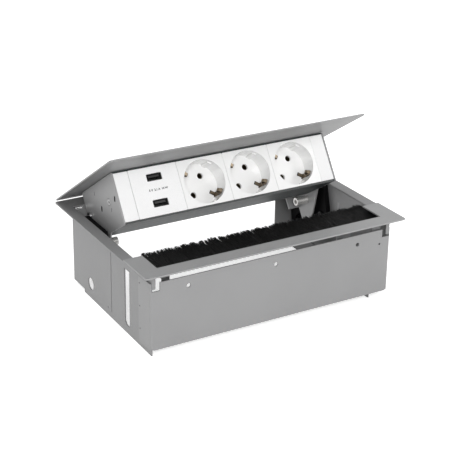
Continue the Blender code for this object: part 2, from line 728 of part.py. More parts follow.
def bracket_outline(side, depth):
    """A folded strip seen from above: a foot behind the panel and a web that runs back."""
    web = Y_WALL_FRONT + SEAT_GAP
    x_out = BRACKET_X
    x_foot = BRACKET_X + BRACKET_FOOT
    corners = [(x_out - SHEET, web), (x_foot, web), (x_foot, web + SHEET),
               (x_out, web + SHEET), (x_out, web + depth), (x_out - SHEET, web + depth)]
    outline = rounded(corners, [PANEL_BEND, 0, 0, PANEL_BEND - SHEET, 0, 0])
    return [(side * x, y) for x, y in outline]


def make_left_bracket():
    """The short folded leg behind the panel, with a window, that carries the brush holder's left end."""
    top = -2 * SEAT_GAP - HOLDER_HEIGHT
    bracket = plate("brush_bracket_left", [bracket_outline(-1, BRACKET_DEPTH)], -LEFT_BRACKET_DROP, top)
    window_top, window_bottom = top - LEFT_WINDOW[0], -LEFT_WINDOW[1]
    cut(bracket, box("window", (-FLANGE_LENGTH, -BIG, window_bottom),
                     (-BRACKET_X, Y_WALL_FRONT + SHEET * 2, window_top)))
    finish(bracket, (0.18, 0.18, 0.185), 0.5)


def make_right_bracket():
    """The right leg, which runs on to the rear as a low rail."""
    top = -2 * SEAT_GAP - HOLDER_HEIGHT
    bottom = -WALL_HEIGHT + RAIL_END_GAP
    depth = Y_WALL_REAR - RAIL_REAR_GAP - Y_WALL_FRONT - SEAT_GAP
    bracket = plate("brush_bracket_right", [bracket_outline(1, depth)], bottom, top)
    leg_back = Y_WALL_FRONT + SEAT_GAP + RIGHT_LEG_DEPTH
    cut(bracket, box("above_rail", (0.0, leg_back, bottom + RAIL_HEIGHT), (FLANGE_LENGTH, FLANGE_DEPTH, BIG)))
    foot_bottom = -PANEL_DROP - PANEL_HEIGHT + BRACKET_FOOT_RISE
    cut(bracket, box("under_foot", (BRACKET_X, -BIG, bottom - BIG),
                     (FLANGE_LENGTH, FLANGE_DEPTH, foot_bottom)))
    finish(bracket, (0.18, 0.18, 0.185), 0.5)


def guide_outline():
    """The guide plate's outline about the bolt's open and shut places."""
    y_open, z_open = open_place(*GUIDE_BOLT)
    y_shut, z_shut = Y_AXIS + lid_y(GUIDE_BOLT[0]), Z_AXIS + lid_z(GUIDE_BOLT[1])
    top = -GUIDE_TOP_DROP
    nose, chin = GUIDE_NOSE, GUIDE_CHIN
    heel, low, rear = GUIDE_HEEL_FRONT, GUIDE_HEEL_LOW, GUIDE_HEEL_REAR
    corners = [(y_open - GUIDE_TOP_FRONT, top), (y_open - nose[0], z_open - nose[1]),
               (y_open - nose[0], z_open - nose[2]), (y_open - chin[0], z_open - chin[1]),
               (y_shut - heel[0], z_shut - heel[1]), (y_shut - low[0], z_shut - low[2]),
               (y_shut + low[1], z_shut - low[2]), (y_shut + rear[0], z_shut + rear[1]),
               (y_open + GUIDE_WAIST, top - GUIDE_ARM_DROP), (y_open + GUIDE_TOP_REAR, top - GUIDE_ARM_DROP),
               (y_open + GUIDE_TOP_REAR, top)]
    return rounded(corners, GUIDE_CORNERS)


def guide_slot():
    """The arc that the bolt's stem follows between its open and shut places."""
    y_open, z_open = open_place(*GUIDE_BOLT)
    reach = math.hypot(GUIDE_BOLT[0], GUIDE_BOLT[1] + LID_THICKNESS / 2)
    start = math.atan2(z_open - Z_AXIS, y_open - Y_AXIS)
    end = math.atan2(lid_z(GUIDE_BOLT[1]), lid_y(GUIDE_BOLT[0]))
    return arc_slot((Y_AXIS, Z_AXIS), reach, start, end, GUIDE_BOLT_SHANK + RUN_GAP)


def make_guide_plate(side, label):
    """The black plate whose blind arc slot guides the lid's bolt, with its two screws."""
    low, high = sorted((side * GUIDE_IN, side * GUIDE_OUT))
    guide = plate("guide_plate_" + label, [guide_outline()], low, high, "YZ")
    low, high = sorted((side * (GUIDE_IN - BIG), side * GUIDE_FLOOR))
    cut(guide, plate("bolt_slot", [guide_slot()], low, high, "YZ"))
    y_open, z_open = open_place(*GUIDE_BOLT)
    for end, (along, up) in zip(("front", "rear"), GUIDE_SCREWS):
        y, z = y_open + along, z_open + up
        middle = side * (GUIDE_IN + GUIDE_OUT) / 2
        cut(guide, rod("screw_hole", (middle, y, z), GUIDE_SCREW_STEM + SEAT_GAP, 2 * GUIDE_SHEET, sides=16))
        make_guide_screw(side, "guide_screw_" + label + "_" + end, y, z)
    finish(guide, (0.012, 0.012, 0.013), 0.4)


def make_guide_screw(side, name, y, z):
    """A hex-socket screw that holds a guide plate."""
    head_from, head_to = GUIDE_IN - SEAT_GAP - GUIDE_SCREW_HEAD, GUIDE_IN - SEAT_GAP
    middle = side * (head_from + head_to) / 2
    screw = rod(name, (middle, y, z), GUIDE_SCREW_RADIUS, GUIDE_SCREW_HEAD, sides=20)
    stem_from, stem_to = head_to - GUIDE_SCREW_HEAD / 3, GUIDE_OUT - SEAT_GAP
    stem_x = side * (stem_from + stem_to) / 2
    stem = rod("stem", (stem_x, y, z), GUIDE_SCREW_STEM, stem_to - stem_from, sides=16)
    join(screw, stem)
    low, high = sorted((side * (head_from - BIG), side * (head_from + GUIDE_SCREW_HEAD / 2)))
    cut(screw, plate("hex", [circle((y, z), GUIDE_SCREW_STEM, 6)], low, high, "YZ"))
    finish(screw, (0.02, 0.02, 0.02), 0.35)


def make_hinge_pin(side, label):
    """The pin through one hinge's three knuckles."""
    length = LID_KNUCKLE + 2 * (FRAME_KNUCKLE + RUN_GAP)
    pin = rod("hinge_pin_" + label, (side * HINGE_X, Y_AXIS, Z_AXIS), HINGE_PIN_RADIUS, length, sides=24)
    finish(pin, (0.55, 0.55, 0.55), 0.3, 1.0)


def make_stop_pin(side, label):
    """The short pin at the opening's rear corner that the lid comes down over."""
    x_out = WALL_IN - SEAT_GAP
    y = Y_WALL_REAR - STOP_PIN_GAP - STOP_PIN_RADIUS
    middle = side * (x_out - STOP_PIN_LENGTH / 2)
    pin = rod("stop_pin_" + label, (middle, y, -STOP_PIN_DROP), STOP_PIN_RADIUS, STOP_PIN_LENGTH, sides=20)
    finish(pin, (0.7, 0.7, 0.7), 0.3, 1.0)


def make_lid(hinge):
    """The lid plate with its two knuckles, modelled shut about the hinge axis."""
    half = LID_LENGTH / 2
    corners = [(-half, -LID_DEPTH), (half, -LID_DEPTH), (half, 0.0), (-half, 0.0)]
    outline = rounded(corners, [LID_CORNER, LID_CORNER, FLANGE_CORNER, FLANGE_CORNER])
    lid = plate("lid_plate", [outline], -LID_THICKNESS / 2, LID_THICKNESS / 2)
    room = KNUCKLE_RADIUS + RUN_GAP
    for middle, lid_span, frame_spans in hinge_spans():
        join(lid, rod("lid_knuckle", (middle, 0.0, 0.0), KNUCKLE_RADIUS, LID_KNUCKLE))
        cut(lid, rod("lid_bore", (middle, 0.0, 0.0), KNUCKLE_BORE, LID_KNUCKLE + BIG))
        for span in frame_spans:
            left = span[0] - (RUN_GAP if span[1] < middle else RUN_GAP / 2)
            right = span[1] + (RUN_GAP / 2 if span[1] < middle else RUN_GAP)
            cut(lid, box("knuckle_room", (left, -room, -BIG), (right, BIG, BIG)))
    return finish(lid, (0.35, 0.355, 0.36), 0.45, parent=hinge)


def make_profile(hinge):
    """The extruded housing shell, open at the front, with a screw channel along its back."""
    front = FACE_S - PROFILE_INSET
    roof = SEAT_GAP
    wall = PROFILE_WALL
    run = PROFILE_HEEL_S - PROFILE_BACK_S
    rise = UNDERSIDE - PROFILE_BACK_D
    slope = math.hypot(run, rise)
    normal_s, normal_d = rise / slope, -run / slope
    inner_back = PROFILE_BACK_S + wall
    inner_back_d = PROFILE_BACK_D + (wall - normal_s * wall) / normal_d
    inner_floor = UNDERSIDE - wall
    inner_heel_s = PROFILE_BACK_S + (wall - normal_d * (inner_floor - PROFILE_BACK_D)) / normal_s
    corners = [(front, roof), (PROFILE_BACK_S, roof), (PROFILE_BACK_S, PROFILE_BACK_D),
               (PROFILE_HEEL_S, UNDERSIDE), (front, UNDERSIDE), (front, inner_floor),
               (inner_heel_s, inner_floor), (inner_back, inner_back_d),
               (inner_back, roof + PROFILE_ROOF), (front, roof + PROFILE_ROOF)]
    outline = rounded(section(corners), PROFILE_CORNERS, 4)
    shell = plate("housing_profile", [outline], -HOUSING_HALF, HOUSING_HALF, "YZ")
    channel = (0.0, lid_y(REAR_SCREW[0]), lid_z(REAR_SCREW[1]))
    join(shell, rod("screw_channel", channel, CHANNEL_RADIUS, 2 * HOUSING_HALF, sides=20))
    cut(shell, rod("channel_bore", channel, REAR_SCREW_STEM + SEAT_GAP, 2 * HOUSING_HALF + BIG, sides=16))
    room = inlet_corners(SEAT_GAP, lid_y(PROFILE_BACK_S + BIG / 2), lid_y(0.0))
    cut(shell, box("inlet_room", *room, cutters))
    return finish(shell, (0.085, 0.1, 0.108), 0.4, 0.6, parent=hinge)


def inlet_corners(margin, y_low, y_high):
    """Two corners of a box in the inlet's place, grown by a margin, over a span in Y."""
    half_x, half_z = INLET_SIZE[0] / 2 + margin, INLET_SIZE[1] / 2 + margin
    middle = lid_z(INLET_D)
    return (INLET_X - half_x, y_low, middle - half_z), (INLET_X + half_x, y_high, middle + half_z)


def make_inlet(hinge):
    """The three-pole supply inlet, snapped into the housing's back wall, with its pins."""
    outside = lid_y(PROFILE_BACK_S - INLET_STANDS_OUT)
    inside = outside - INLET_SIZE[2]
    block = box("supply_inlet", *inlet_corners(0.0, inside, outside))
    cut(block, box("mouth", *inlet_corners(-INLET_WALL, inside + INLET_FLOOR, outside + BIG), cutters))
    finish(block, (0.015, 0.015, 0.015), 0.4, parent=hinge)
    pin_middle = inside + INLET_FLOOR + SEAT_GAP + INLET_PIN_LENGTH / 2
    for pole, x in (("left", -INLET_PITCH), ("middle", 0.0), ("right", INLET_PITCH)):
        place = (INLET_X + x, pin_middle, lid_z(INLET_D))
        pin = rod("inlet_pin_" + pole, place, INLET_PIN_RADIUS, INLET_PIN_LENGTH, "Y", 16)
        finish(pin, (0.7, 0.62, 0.4), 0.3, 1.0, parent=hinge)


def make_end_cap(side, label, hinge):
    """The white filler beside the outer modules, with the hole for the end screw."""
    x_in = HOUSING_HALF - END_CAP_WIDTH + SEAT_GAP / 2
    low, high = sorted((side * x_in, side * HOUSING_HALF))
    cap = box("end_cap_" + label, (low, lid_y(FACE_S), lid_z(FACE_BOTTOM)),
              (high, lid_y(END_SCREW[0] - CAP_REACH), lid_z(FACE_TOP)))
    soften(cap, CAP_EDGE)
    hole = (side * HOUSING_HALF, lid_y(END_SCREW[0]), lid_z(END_SCREW[1]))
    cut(cap, rod("cap_hole", hole, CAP_BORE, 2 * (END_SCREW_LENGTH + SEAT_GAP), sides=20))
    return finish(cap, (0.87, 0.87, 0.86), 0.3, parent=hinge)


def make_end_plate(side, label, hinge):
    """The sheet end plate: its lobe hangs below the housing and holds the guide bolt."""
    front = FACE_S + END_PLATE_FRONT
    back = END_PLATE_BACK_S
    corners = [(back, END_PLATE_ROOF), (front, END_PLATE_ROOF), (front, UNDERSIDE), (LOBE_FRONT_S, UNDERSIDE),
               (LOBE_TIP_S, LOBE_SLOPE_D), (LOBE_TIP_S - LOBE_TIP_RUN, LOBE_DEPTH), (back, LOBE_DEPTH)]
    outline = rounded(section(corners), END_PLATE_CORNERS)
    low, high = sorted((side * PLATE_IN, side * PLATE_OUT))
    end_plate = plate("end_plate_" + label, [outline], low, high, "YZ")
    low, high = sorted((side * (PLATE_IN - TAB_FOLD_WIDTH), side * (PLATE_IN + END_PLATE_SHEET / 2)))
    join(end_plate, box("fold", (low, lid_y(back + END_PLATE_SHEET), lid_z(TAB_FOLD_BOTTOM)),
                        (high, lid_y(back), lid_z(TAB_FOLD_TOP))))
    middle = side * (PLATE_IN + PLATE_OUT) / 2

    def at(place):
        return middle, lid_y(place[0]), lid_z(place[1])
    outer_end, inner_end = (DIMPLE_RADIUS, DIMPLE_BORE) if side < 0 else (DIMPLE_BORE, DIMPLE_RADIUS)
    cut(end_plate, rod("dimple", at(END_SCREW), outer_end, END_PLATE_SHEET * 1.001, end_radius=inner_end))
    cut(end_plate, rod("rear_hole", at(REAR_SCREW), REAR_SCREW_STEM + SEAT_GAP, BIG, sides=20))
    cut(end_plate, rod("bolt_hole", at(GUIDE_BOLT), GUIDE_BOLT_SHANK + SEAT_GAP, BIG))
    for s, d, size in [(*place, VENT_SIZE) for place in VENTS] + [(*place, SLIT_SIZE) for place in SLITS]:
        loop = rectangle(lid_y(s) - size[1] / 2, lid_y(s) + size[1] / 2,
                         lid_z(d) - size[0] / 2, lid_z(d) + size[0] / 2, size[1] * 0.49)
        loop = turned(loop, (lid_y(s), lid_z(d)), OPEN_ANGLE)
        cut(end_plate, plate("vent", [loop], side * (PLATE_IN - SHEET), side * (PLATE_OUT + SHEET), "YZ"))
    return finish(end_plate, (0.3, 0.3, 0.305), 0.45, parent=hinge)


def make_end_screw(side, label, hinge):
    """The countersunk screw in the end plate's dimple."""
    y, z = lid_y(END_SCREW[0]), lid_z(END_SCREW[1])
    outer_end, inner_end = END_SCREW_RADIUS, END_SCREW_RADIUS - END_SCREW_TAPER
    radii = (outer_end, inner_end) if side < 0 else (inner_end, outer_end)
    head = rod("end_screw_" + label, (side * (PLATE_IN + PLATE_OUT - END_SCREW_SINK) / 2, y, z), radii[0],
               END_PLATE_SHEET - END_SCREW_SINK, end_radius=radii[1])
    stem_in = HOUSING_HALF - END_SCREW_LENGTH
    stem_out = PLATE_OUT - END_PLATE_SHEET / 2
    stem_x = side * (stem_in + stem_out) / 2
    join(head, rod("stem", (stem_x, y, z), END_SCREW_STEM, stem_out - stem_in, sides=16))
    recess = side * (PLATE_OUT - END_PLATE_SHEET * 0.6)
    cut(head, plate("hex", [circle((y, z), END_SCREW_STEM * 0.9, 6)], recess, side * (PLATE_OUT + BIG), "YZ"))
    for guide in head.modifiers:
        guide.object.parent = hinge
    return finish(head, (0.75, 0.75, 0.75), 0.18, 1.0, parent=hinge)


def make_rear_screw(side, label, hinge):
    """The pan-head screw that runs into the housing's screw channel."""
    y, z = lid_y(REAR_SCREW[0]), lid_z(REAR_SCREW[1])
    head_in, head_out = PLATE_OUT + SEAT_GAP, PLATE_OUT + SEAT_GAP + REAR_SCREW_HEAD
    head_x = side * (head_in + head_out) / 2
    head = rod("rear_screw_" + label, (head_x, y, z), REAR_SCREW_RADIUS, head_out - head_in)
    stem_in = HOUSING_HALF - REAR_SCREW_LENGTH
    stem_out = head_in + REAR_SCREW_HEAD / 3
    stem_x = side * (stem_in + stem_out) / 2
    join(head, rod("stem", (stem_x, y, z), REAR_SCREW_STEM, stem_out - stem_in, sides=16))
    recess = side * (head_out - REAR_SCREW_HEAD / 2)
    cut(head, plate("hex", [circle((y, z), REAR_SCREW_STEM, 6)], recess, side * (head_out + BIG), "YZ"))
    return finish(head, (0.45, 0.45, 0.45), 0.25, 1.0, parent=hinge)


def make_guide_bolt(side, label, hinge):
    """The bright bolt through the lobe, with a hex socket, and the bush that spaces it off the guide."""
    y, z = lid_y(GUIDE_BOLT[0]), lid_z(GUIDE_BOLT[1])
    head_in, head_out = PLATE_IN - GUIDE_BOLT_REACH, PLATE_IN - SEAT_GAP
    head_x = side * (head_in + head_out) / 2
    bolt = rod("guide_bolt_" + label, (head_x, y, z), GUIDE_BOLT_RADIUS, head_out - head_in)
    stem_in, stem_out = head_out - OVERLAP, GUIDE_FLOOR - SEAT_GAP
    stem_x = side * (stem_in + stem_out) / 2
    join(bolt, rod("stem", (stem_x, y, z), GUIDE_BOLT_SHANK, stem_out - stem_in))
    hexagon = circle((y, z), HEX_ACROSS / math.sqrt(3), 6)
    cut(bolt, plate("hex", [hexagon], side * (head_in - BIG), side * (head_in + HEX_DEPTH), "YZ"))
    finish(bolt, (0.75, 0.75, 0.75), 0.15, 1.0, parent=hinge)
    low, high = sorted((side * (PLATE_OUT + SEAT_GAP), side * (GUIDE_IN - SEAT_GAP)))
    bore = circle((y, z), GUIDE_BOLT_SHANK + SEAT_GAP)
    bush = plate("friction_bush_" + label, [circle((y, z), BUSH_RADIUS), bore], low, high, "YZ")
    finish(bush, (0.3, 0.3, 0.3), 0.4, 1.0, parent=hinge)


def make_socket(number, hinge):
    """One earthed socket: cover with its well, earth clip, contact tubes and base."""
    x = (number - MODULE_COUNT / 2 + 0.5) * MODULE_PITCH
    centre = (x, lid_z(FACE_TOP + FACE_HEIGHT / 2))
    half = MODULE_PITCH / 2 - SEAT_GAP / 2
    front = lid_y(FACE_S)
    floor_front = lid_y(FACE_S - WELL_DEPTH)
    floor_back = lid_y(FACE_S - WELL_DEPTH - WELL_FLOOR)
    label = str(number)
    along = (math.sin(PIN_ANGLE), math.cos(PIN_ANGLE))
    across = (math.cos(PIN_ANGLE), -math.sin(PIN_ANGLE))
    reach = PIN_SPACING / 2
    pins = [(centre[0] + k * along[0] * reach, centre[1] + k * along[1] * reach) for k in (-1, 1)]

    face = rectangle(x - half, x + half, lid_z(FACE_BOTTOM), lid_z(FACE_TOP), COVER_CORNER)
    cover = plate("socket_cover_" + label, [face, circle(centre, WELL_RADIUS, 40)], front,
                  front + FACE_THICKNESS, "XZ")
    tube = [circle(centre, WELL_RADIUS + WELL_WALL, 40), circle(centre, WELL_RADIUS, 40)]
    join(cover, plate("well", tube, front + FACE_THICKNESS / 2, floor_back, "XZ"))
    slots = []
    leg_out = WELL_RADIUS
    leg_in = leg_out - CLIP_THICKNESS - 2 * SEAT_GAP
    for k in (-1, 1):
        reach = CLIP_WIDTH / 2 + SEAT_GAP
        slot = rectangle(*sorted((k * leg_in, k * leg_out)), -reach, reach)
        slots.append([(centre[0] + u * across[0] + v * along[0], centre[1] + u * across[1] + v * along[1])
                      for u, v in slot])
    holes = [circle(pin, PIN_HOLE_RADIUS, 24) for pin in pins]
    join(cover, plate("floor", [circle(centre, WELL_RADIUS + WELL_WALL / 2, 40)] + holes + slots,
                      floor_front, floor_back, "XZ"))
    for k in (-1, 1):
        rib = rectangle(-WELL_RIB_WIDTH / 2, WELL_RIB_WIDTH / 2,
                        *sorted((k * (WELL_RADIUS - WELL_RIB_HEIGHT), k * (WELL_RADIUS + WELL_WALL / 2))))
        rib = [(centre[0] + u * across[0] + v * along[0], centre[1] + u * across[1] + v * along[1])
               for u, v in rib]
        join(cover, plate("rib", [rib], lid_y(FACE_S - WELL_RIB_TOP), (floor_front + floor_back) / 2, "XZ"))
    finish(cover, (0.87, 0.87, 0.86), 0.25, parent=hinge)

    strip_front = floor_back + SEAT_GAP
    strip_back = strip_front + CLIP_THICKNESS
    outer = leg_out - SEAT_GAP
    tip = lid_y(FACE_S - CLIP_TIP_DEPTH)
    near, far = lid_y(FACE_S - CLIP_BELLY[0]), lid_y(FACE_S - CLIP_BELLY[1])
    shoulder = lid_y(FACE_S - CLIP_SHOULDER)
    inner = outer - CLIP_THICKNESS
    path = [(outer, strip_back), (outer, shoulder), (outer - CLIP_BULGE, far), (outer - CLIP_BULGE, near),
            (outer, tip), (inner, tip), (inner - CLIP_BULGE, near), (inner - CLIP_BULGE, far),
            (inner, shoulder), (inner, strip_front)]
    shape = path + [(-u, v) for u, v in reversed(path)]
    clip = plate("earth_clip_" + label, [shape], -CLIP_WIDTH / 2, CLIP_WIDTH / 2)
    clip.data.transform(Matrix.Translation((centre[0], 0.0, centre[1])) @ Matrix.Rotation(PIN_ANGLE, 4, "Y"))
    finish(clip, (0.62, 0.47, 0.27), 0.3, 1.0, parent=hinge)

    for end, pin in zip(("lower", "upper"), pins):
        loops = [circle(pin, CONTACT_RADIUS, 20), circle(pin, CONTACT_RADIUS - CONTACT_WALL, 20)]
        tube = plate("contact_tube_" + label + "_" + end, loops, strip_front,
                     strip_front + CONTACT_LENGTH, "XZ")
        finish(tube, (0.6, 0.42, 0.2), 0.35, 1.0, parent=hinge)

    base_front = strip_back + SEAT_GAP
    base_half = half - BASE_INSET
    base = box("socket_base_" + label, (x - base_half, base_front, lid_z(FACE_BOTTOM - BASE_INSET)),
               (x + base_half, base_front + BASE_DEPTH, lid_z(FACE_TOP + BASE_INSET)))
    for pin in pins:
        mouth = (pin[0], base_front, pin[1])
        room = rod("contact_room", mouth, CONTACT_RADIUS + SEAT_GAP, 2 * CONTACT_LENGTH, "Y", 20)
        cut(base, room)
    finish(base, (0.25, 0.25, 0.25), 0.5, parent=hinge)


def make_charger(hinge):
    """The twin charging port: cover, two metal shells with insulators, circuit board and body."""
    x = (0.5 - MODULE_COUNT / 2) * MODULE_PITCH
    half = MODULE_PITCH / 2 - SEAT_GAP / 2
    front = lid_y(FACE_S)
    wide, high = PORT_OPENING
    openings = []
    for d in PORT_CENTRES_D:
        z = lid_z(d)
        openings.append(rectangle(x - wide / 2, x + wide / 2, z - high / 2, z + high / 2, PORT_CORNER))
    face = rectangle(x - half, x + half, lid_z(FACE_BOTTOM), lid_z(FACE_TOP), COVER_CORNER)
    cover = plate("charger_cover", [face] + openings, front, front + FACE_THICKNESS, "XZ")
    finish(cover, (0.87, 0.87, 0.86), 0.25, parent=hinge)
    shell_front = front + SEAT_GAP
    shell_back = shell_front + PORT_DEPTH
    for label, d in zip(("upper", "lower"), PORT_CENTRES_D):
        z = lid_z(d)
        out_x, out_z = wide / 2 - SEAT_GAP, high / 2 - SEAT_GAP
        in_x, in_z = out_x - PORT_SHELL_WALL, out_z - PORT_SHELL_WALL
        loops = [rectangle(x - out_x, x + out_x, z - out_z, z + out_z, SHELL_CORNERS[0]),
                 rectangle(x - in_x, x + in_x, z - in_z, z + in_z, SHELL_CORNERS[1])]
        shell = plate("port_shell_" + label, loops, shell_front, shell_back, "XZ")
        finish(shell, (0.6, 0.6, 0.6), 0.3, 1.0, parent=hinge)
        plug_x, plug_z = in_x - SEAT_GAP, in_z - SEAT_GAP
        root = shell_back - TONGUE_ROOT
        tongue = box("port_insulator_" + label, (x - plug_x, root, z - plug_z),
                     (x + plug_x, shell_back, z + plug_z))
        top = z + plug_z - TONGUE_DROP
        join(tongue, box("tongue", (x - TONGUE_SIZE[0] / 2, root - TONGUE_DEPTH, top - TONGUE_SIZE[1]),
                         (x + TONGUE_SIZE[0] / 2, root + OVERLAP, top)))
        finish(tongue, (0.015, 0.015, 0.015), 0.4, parent=hinge)
    board_front = shell_back + SEAT_GAP
    middle = lid_z(FACE_TOP + FACE_HEIGHT / 2)
    board_wide, board_high = MODULE_PITCH / 2 - BOARD_INSET[0], FACE_HEIGHT / 2 - BOARD_INSET[1]
    board = box("charger_board", (x - board_wide, board_front, middle - board_high),
                (x + board_wide, board_front + BOARD_THICKNESS, middle + board_high))
    finish(board, (0.02, 0.12, 0.05), 0.4, parent=hinge)
    body_front = board_front + BOARD_THICKNESS + SEAT_GAP
    body_half = half - BASE_INSET
    body = box("charger_body", (x - body_half, body_front, lid_z(FACE_BOTTOM - BASE_INSET)),
               (x + body_half, body_front + BASE_DEPTH, lid_z(FACE_TOP + BASE_INSET)))
    finish(body, (0.25, 0.25, 0.25), 0.5, parent=hinge)


def main():
    """Build the module, with the lid open."""
    start_scene()
    hinge = bpy.data.objects.new("hinge_axis", None)
    product.objects.link(hinge)
    hinge.location = (0.0, Y_AXIS, Z_AXIS)
    hinge.rotation_euler = (-OPEN_ANGLE, 0.0, 0.0)

    make_frame_sheet()
    make_front_panel()
    make_front_trim()
    make_brush()
    make_lid(hinge)
    make_profile(hinge)
    make_inlet(hinge)
    for number in range(1, MODULE_COUNT):
        make_socket(number, hinge)
    make_charger(hinge)
    make_left_bracket()
    make_right_bracket()
    for side, label in ((-1, "left"), (1, "right")):
        make_guide_plate(side, label)
        make_hinge_pin(side, label)
        make_stop_pin(side, label)
        make_end_cap(side, label, hinge)
        make_end_plate(side, label, hinge)
        make_end_screw(side, label, hinge)
        make_rear_screw(side, label, hinge)
        make_guide_bolt(side, label, hinge)
    seat_cutters()


def seat_cutters():
    """Each Boolean guide moves with the piece that it shapes."""
    for item in product.objects:
        owners = [item]
        while owners:
            owner = owners.pop()
            for step in owner.modifiers:
                if step.type == "BOOLEAN":
                    step.object.parent = item.parent
                    owners.append(step.object)


main()
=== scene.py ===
import math

import bmesh
import bpy
import numpy as np
from mathutils import Matrix, Vector


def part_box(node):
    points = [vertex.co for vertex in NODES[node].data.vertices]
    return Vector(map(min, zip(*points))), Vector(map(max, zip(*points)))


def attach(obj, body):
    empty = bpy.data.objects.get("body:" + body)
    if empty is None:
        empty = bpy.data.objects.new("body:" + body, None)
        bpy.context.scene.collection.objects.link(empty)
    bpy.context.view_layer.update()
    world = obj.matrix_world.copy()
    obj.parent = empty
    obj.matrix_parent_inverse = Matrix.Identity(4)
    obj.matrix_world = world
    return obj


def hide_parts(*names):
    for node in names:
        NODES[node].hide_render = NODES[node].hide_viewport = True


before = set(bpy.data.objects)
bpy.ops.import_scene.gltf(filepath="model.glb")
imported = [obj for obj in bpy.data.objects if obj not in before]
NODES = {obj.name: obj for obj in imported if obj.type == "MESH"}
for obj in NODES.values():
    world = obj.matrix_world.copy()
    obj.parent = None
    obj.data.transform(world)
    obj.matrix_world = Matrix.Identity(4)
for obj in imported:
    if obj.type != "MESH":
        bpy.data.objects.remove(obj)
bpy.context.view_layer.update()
scene = bpy.context.scene

# Lengths are in metres. The lid group stands open by OPEN about the line through AXIS along +X. That
# line runs in the middle of the lid sheet, LID_HALF above its underside, and the sockets' face lies
# FACE_S in front of it.
OPEN = math.radians(33.3)
AXIS = Vector((0.0, 0.1742, 0.0019))
LID_HALF = 0.0006
FACE_S = 0.0917

# Patterns of the surfaces: a noise's scale per metre, its detail and its roughness. The two spans are
# the part of a noise that is stretched into a ramp.
POWDER_CLOUD = (14.0, 4.0, 0.55)
POWDER_GRAIN = (5200.0, 2.0, 0.6)
PLASTIC_CLOUD = (30.0, 3.0, 0.5)
PLASTIC_SKIN = (2600.0, 2.0, 0.5)
METAL_LINES = (1.0, 3.0, 0.6)
NYLON_STREAKS = (1.0, 2.0, 0.5)
CLOUD_SPAN = (0.35, 0.65)
FINE_SPAN = (0.3, 0.7)
STREAK_SPAN = (0.4, 0.68)
# Lines along X come from a noise that is stretched by these factors.
ANODISED_STRETCH = (12.0, 900.0, 900.0)
METAL_STRETCH = (60.0, 2600.0, 2600.0)
# The darkest and lightest tone, as factors of the colour.
POWDER_TONES = (0.965, 1.035)
ANODISED_TONES = (0.9, 1.1)
PLASTIC_TONES = (0.985, 1.01)
METAL_TONES = (0.88, 1.06)
# How far the roughness goes below and above its middle.
POWDER_SPREAD = (0.05, 0.06)
ANODISED_SPREAD = (0.06, 0.08)
PLASTIC_SPREAD = (0.04, 0.05)
METAL_SPREAD = (0.05, 0.1)
# Bumps: strength and height.
POWDER_BUMP = (0.18, 0.00006)
ANODISED_BUMP = (0.12, 0.00004)
PLASTIC_BUMP = (0.1, 0.00003)
METAL_BUMP_HEIGHT = 0.00003
POWDER_METALLIC = 0.25
POWDER_ROUGHNESS = 0.42
ANODISED_METALLIC = 0.4
ANODISED_GLOSS = 0.2
PLASTIC_IOR = 1.49
CLEAR_COAT_ROUGHNESS = 0.05
# The housing's lowest front edge is paler, a painted highlight, and it fades into the rest between two
# distances from it.
LIP_HIGHLIGHT_COLOUR = (0.078, 0.081, 0.081)
LIP_HIGHLIGHT_FADE = (0.0012, 0.0016)

# Bristles: count and build, then the gaps between their roots and tips and the strip's box. The mouth
# of the strip's channel lies BRISTLE_MOUTH behind the box's front. ROOT_GAPS_Z is the gap below the
# roots and the one above them together.
BRISTLES = 7600
BRISTLE_RINGS = 5
BRISTLE_SIDES = 3
BRISTLE_TURN = 0.5
BRISTLE_RADIUS = 0.00014
BRISTLE_TIP_RADIUS = 0.00006
BRISTLE_SEED = 7
BRISTLE_MOUTH = 0.004
ROOT_LEFT_GAP = 0.0012
ROOT_RIGHT_GAP = 0.0004
ROOT_FRONT_GAP = 0.0006
ROOT_LOW_GAP = 0.0010
ROOT_GAPS_Z = 0.0014
TIP_GAP = 0.0003
TIP_BACK_GAP = 0.0004
# Tufts: how wide they are, how much they differ, and how far their tips draw together.
TUFTS = 400
TUFT_WIDTH = (0.0004, 0.0014)
TUFT_LENGTH_SPREAD = 0.0011
TUFT_SHIFT_SPREAD = 0.0006
TUFT_PULL = 0.45
# The length of a bristle: two waves along the strip (height, wavelength, start), then what it loses,
# the least share of the room that it fills, and how much it varies.
LONG_WAVE = (0.0005, 0.021, 1.0)
SHORT_WAVE = (0.0004, 0.0086, 0.0)
SHORTER_BY = 0.0026
SHORTEST = 0.75
LENGTH_SPREAD = 0.0006
# The shape of a bristle: how far its tip leans to the right, how it bows, and how it fans out.
LEAN = 0.003
LEAN_LEAST = 0.85
LEAN_RANGE = 0.3
LEAN_SPREAD = 0.0003
LIFT_SPREAD = 0.08
BOW_SPREAD = 0.0005
LEAN_POWER = 1.8
FAN_OUT = 1.6
NYLON_IOR = 1.53
NYLON_GLOSS = 0.15
NYLON_STRETCH = (1900.0, 14.0, 1900.0)
NYLON_COLOURS = ((0.001, 0.001, 0.001), (0.004, 0.004, 0.004))
NYLON_ROUGHNESS = (0.5, 0.36)

# Vents and slits of an end plate: place in front of the hinge line, depth below the lid, width, height.
VENTS = ((0.0539, 0.0229, 0.0026, 0.0054), (0.0857, 0.0217, 0.0026, 0.0054),
         (0.0461, 0.0078, 0.0010, 0.0040), (0.0738, 0.0284, 0.0010, 0.0040))
VENT_GAP = 0.00006
VENT_STEPS = 24
# The outline of a black plug that paints the shade in a vent, at three depths in the plate: how much
# smaller it is, and how deep it lies.
VENT_LOOPS = ((0.0, 0.0011), (0.0, 0.0003), (0.0002, 0.0001))

# Earth clips: the wells' middles, the clip's turn in the well, and its distance from the middle.
WELLS_X = (-0.0225, 0.0225, 0.0675)
WELL_D = 0.0225
CLIP_TURN = math.radians(35)
CLIP_OUT = 0.01885
CLIP_WALL = CLIP_OUT - 0.0002
CLIP_LEAF = 0.0004
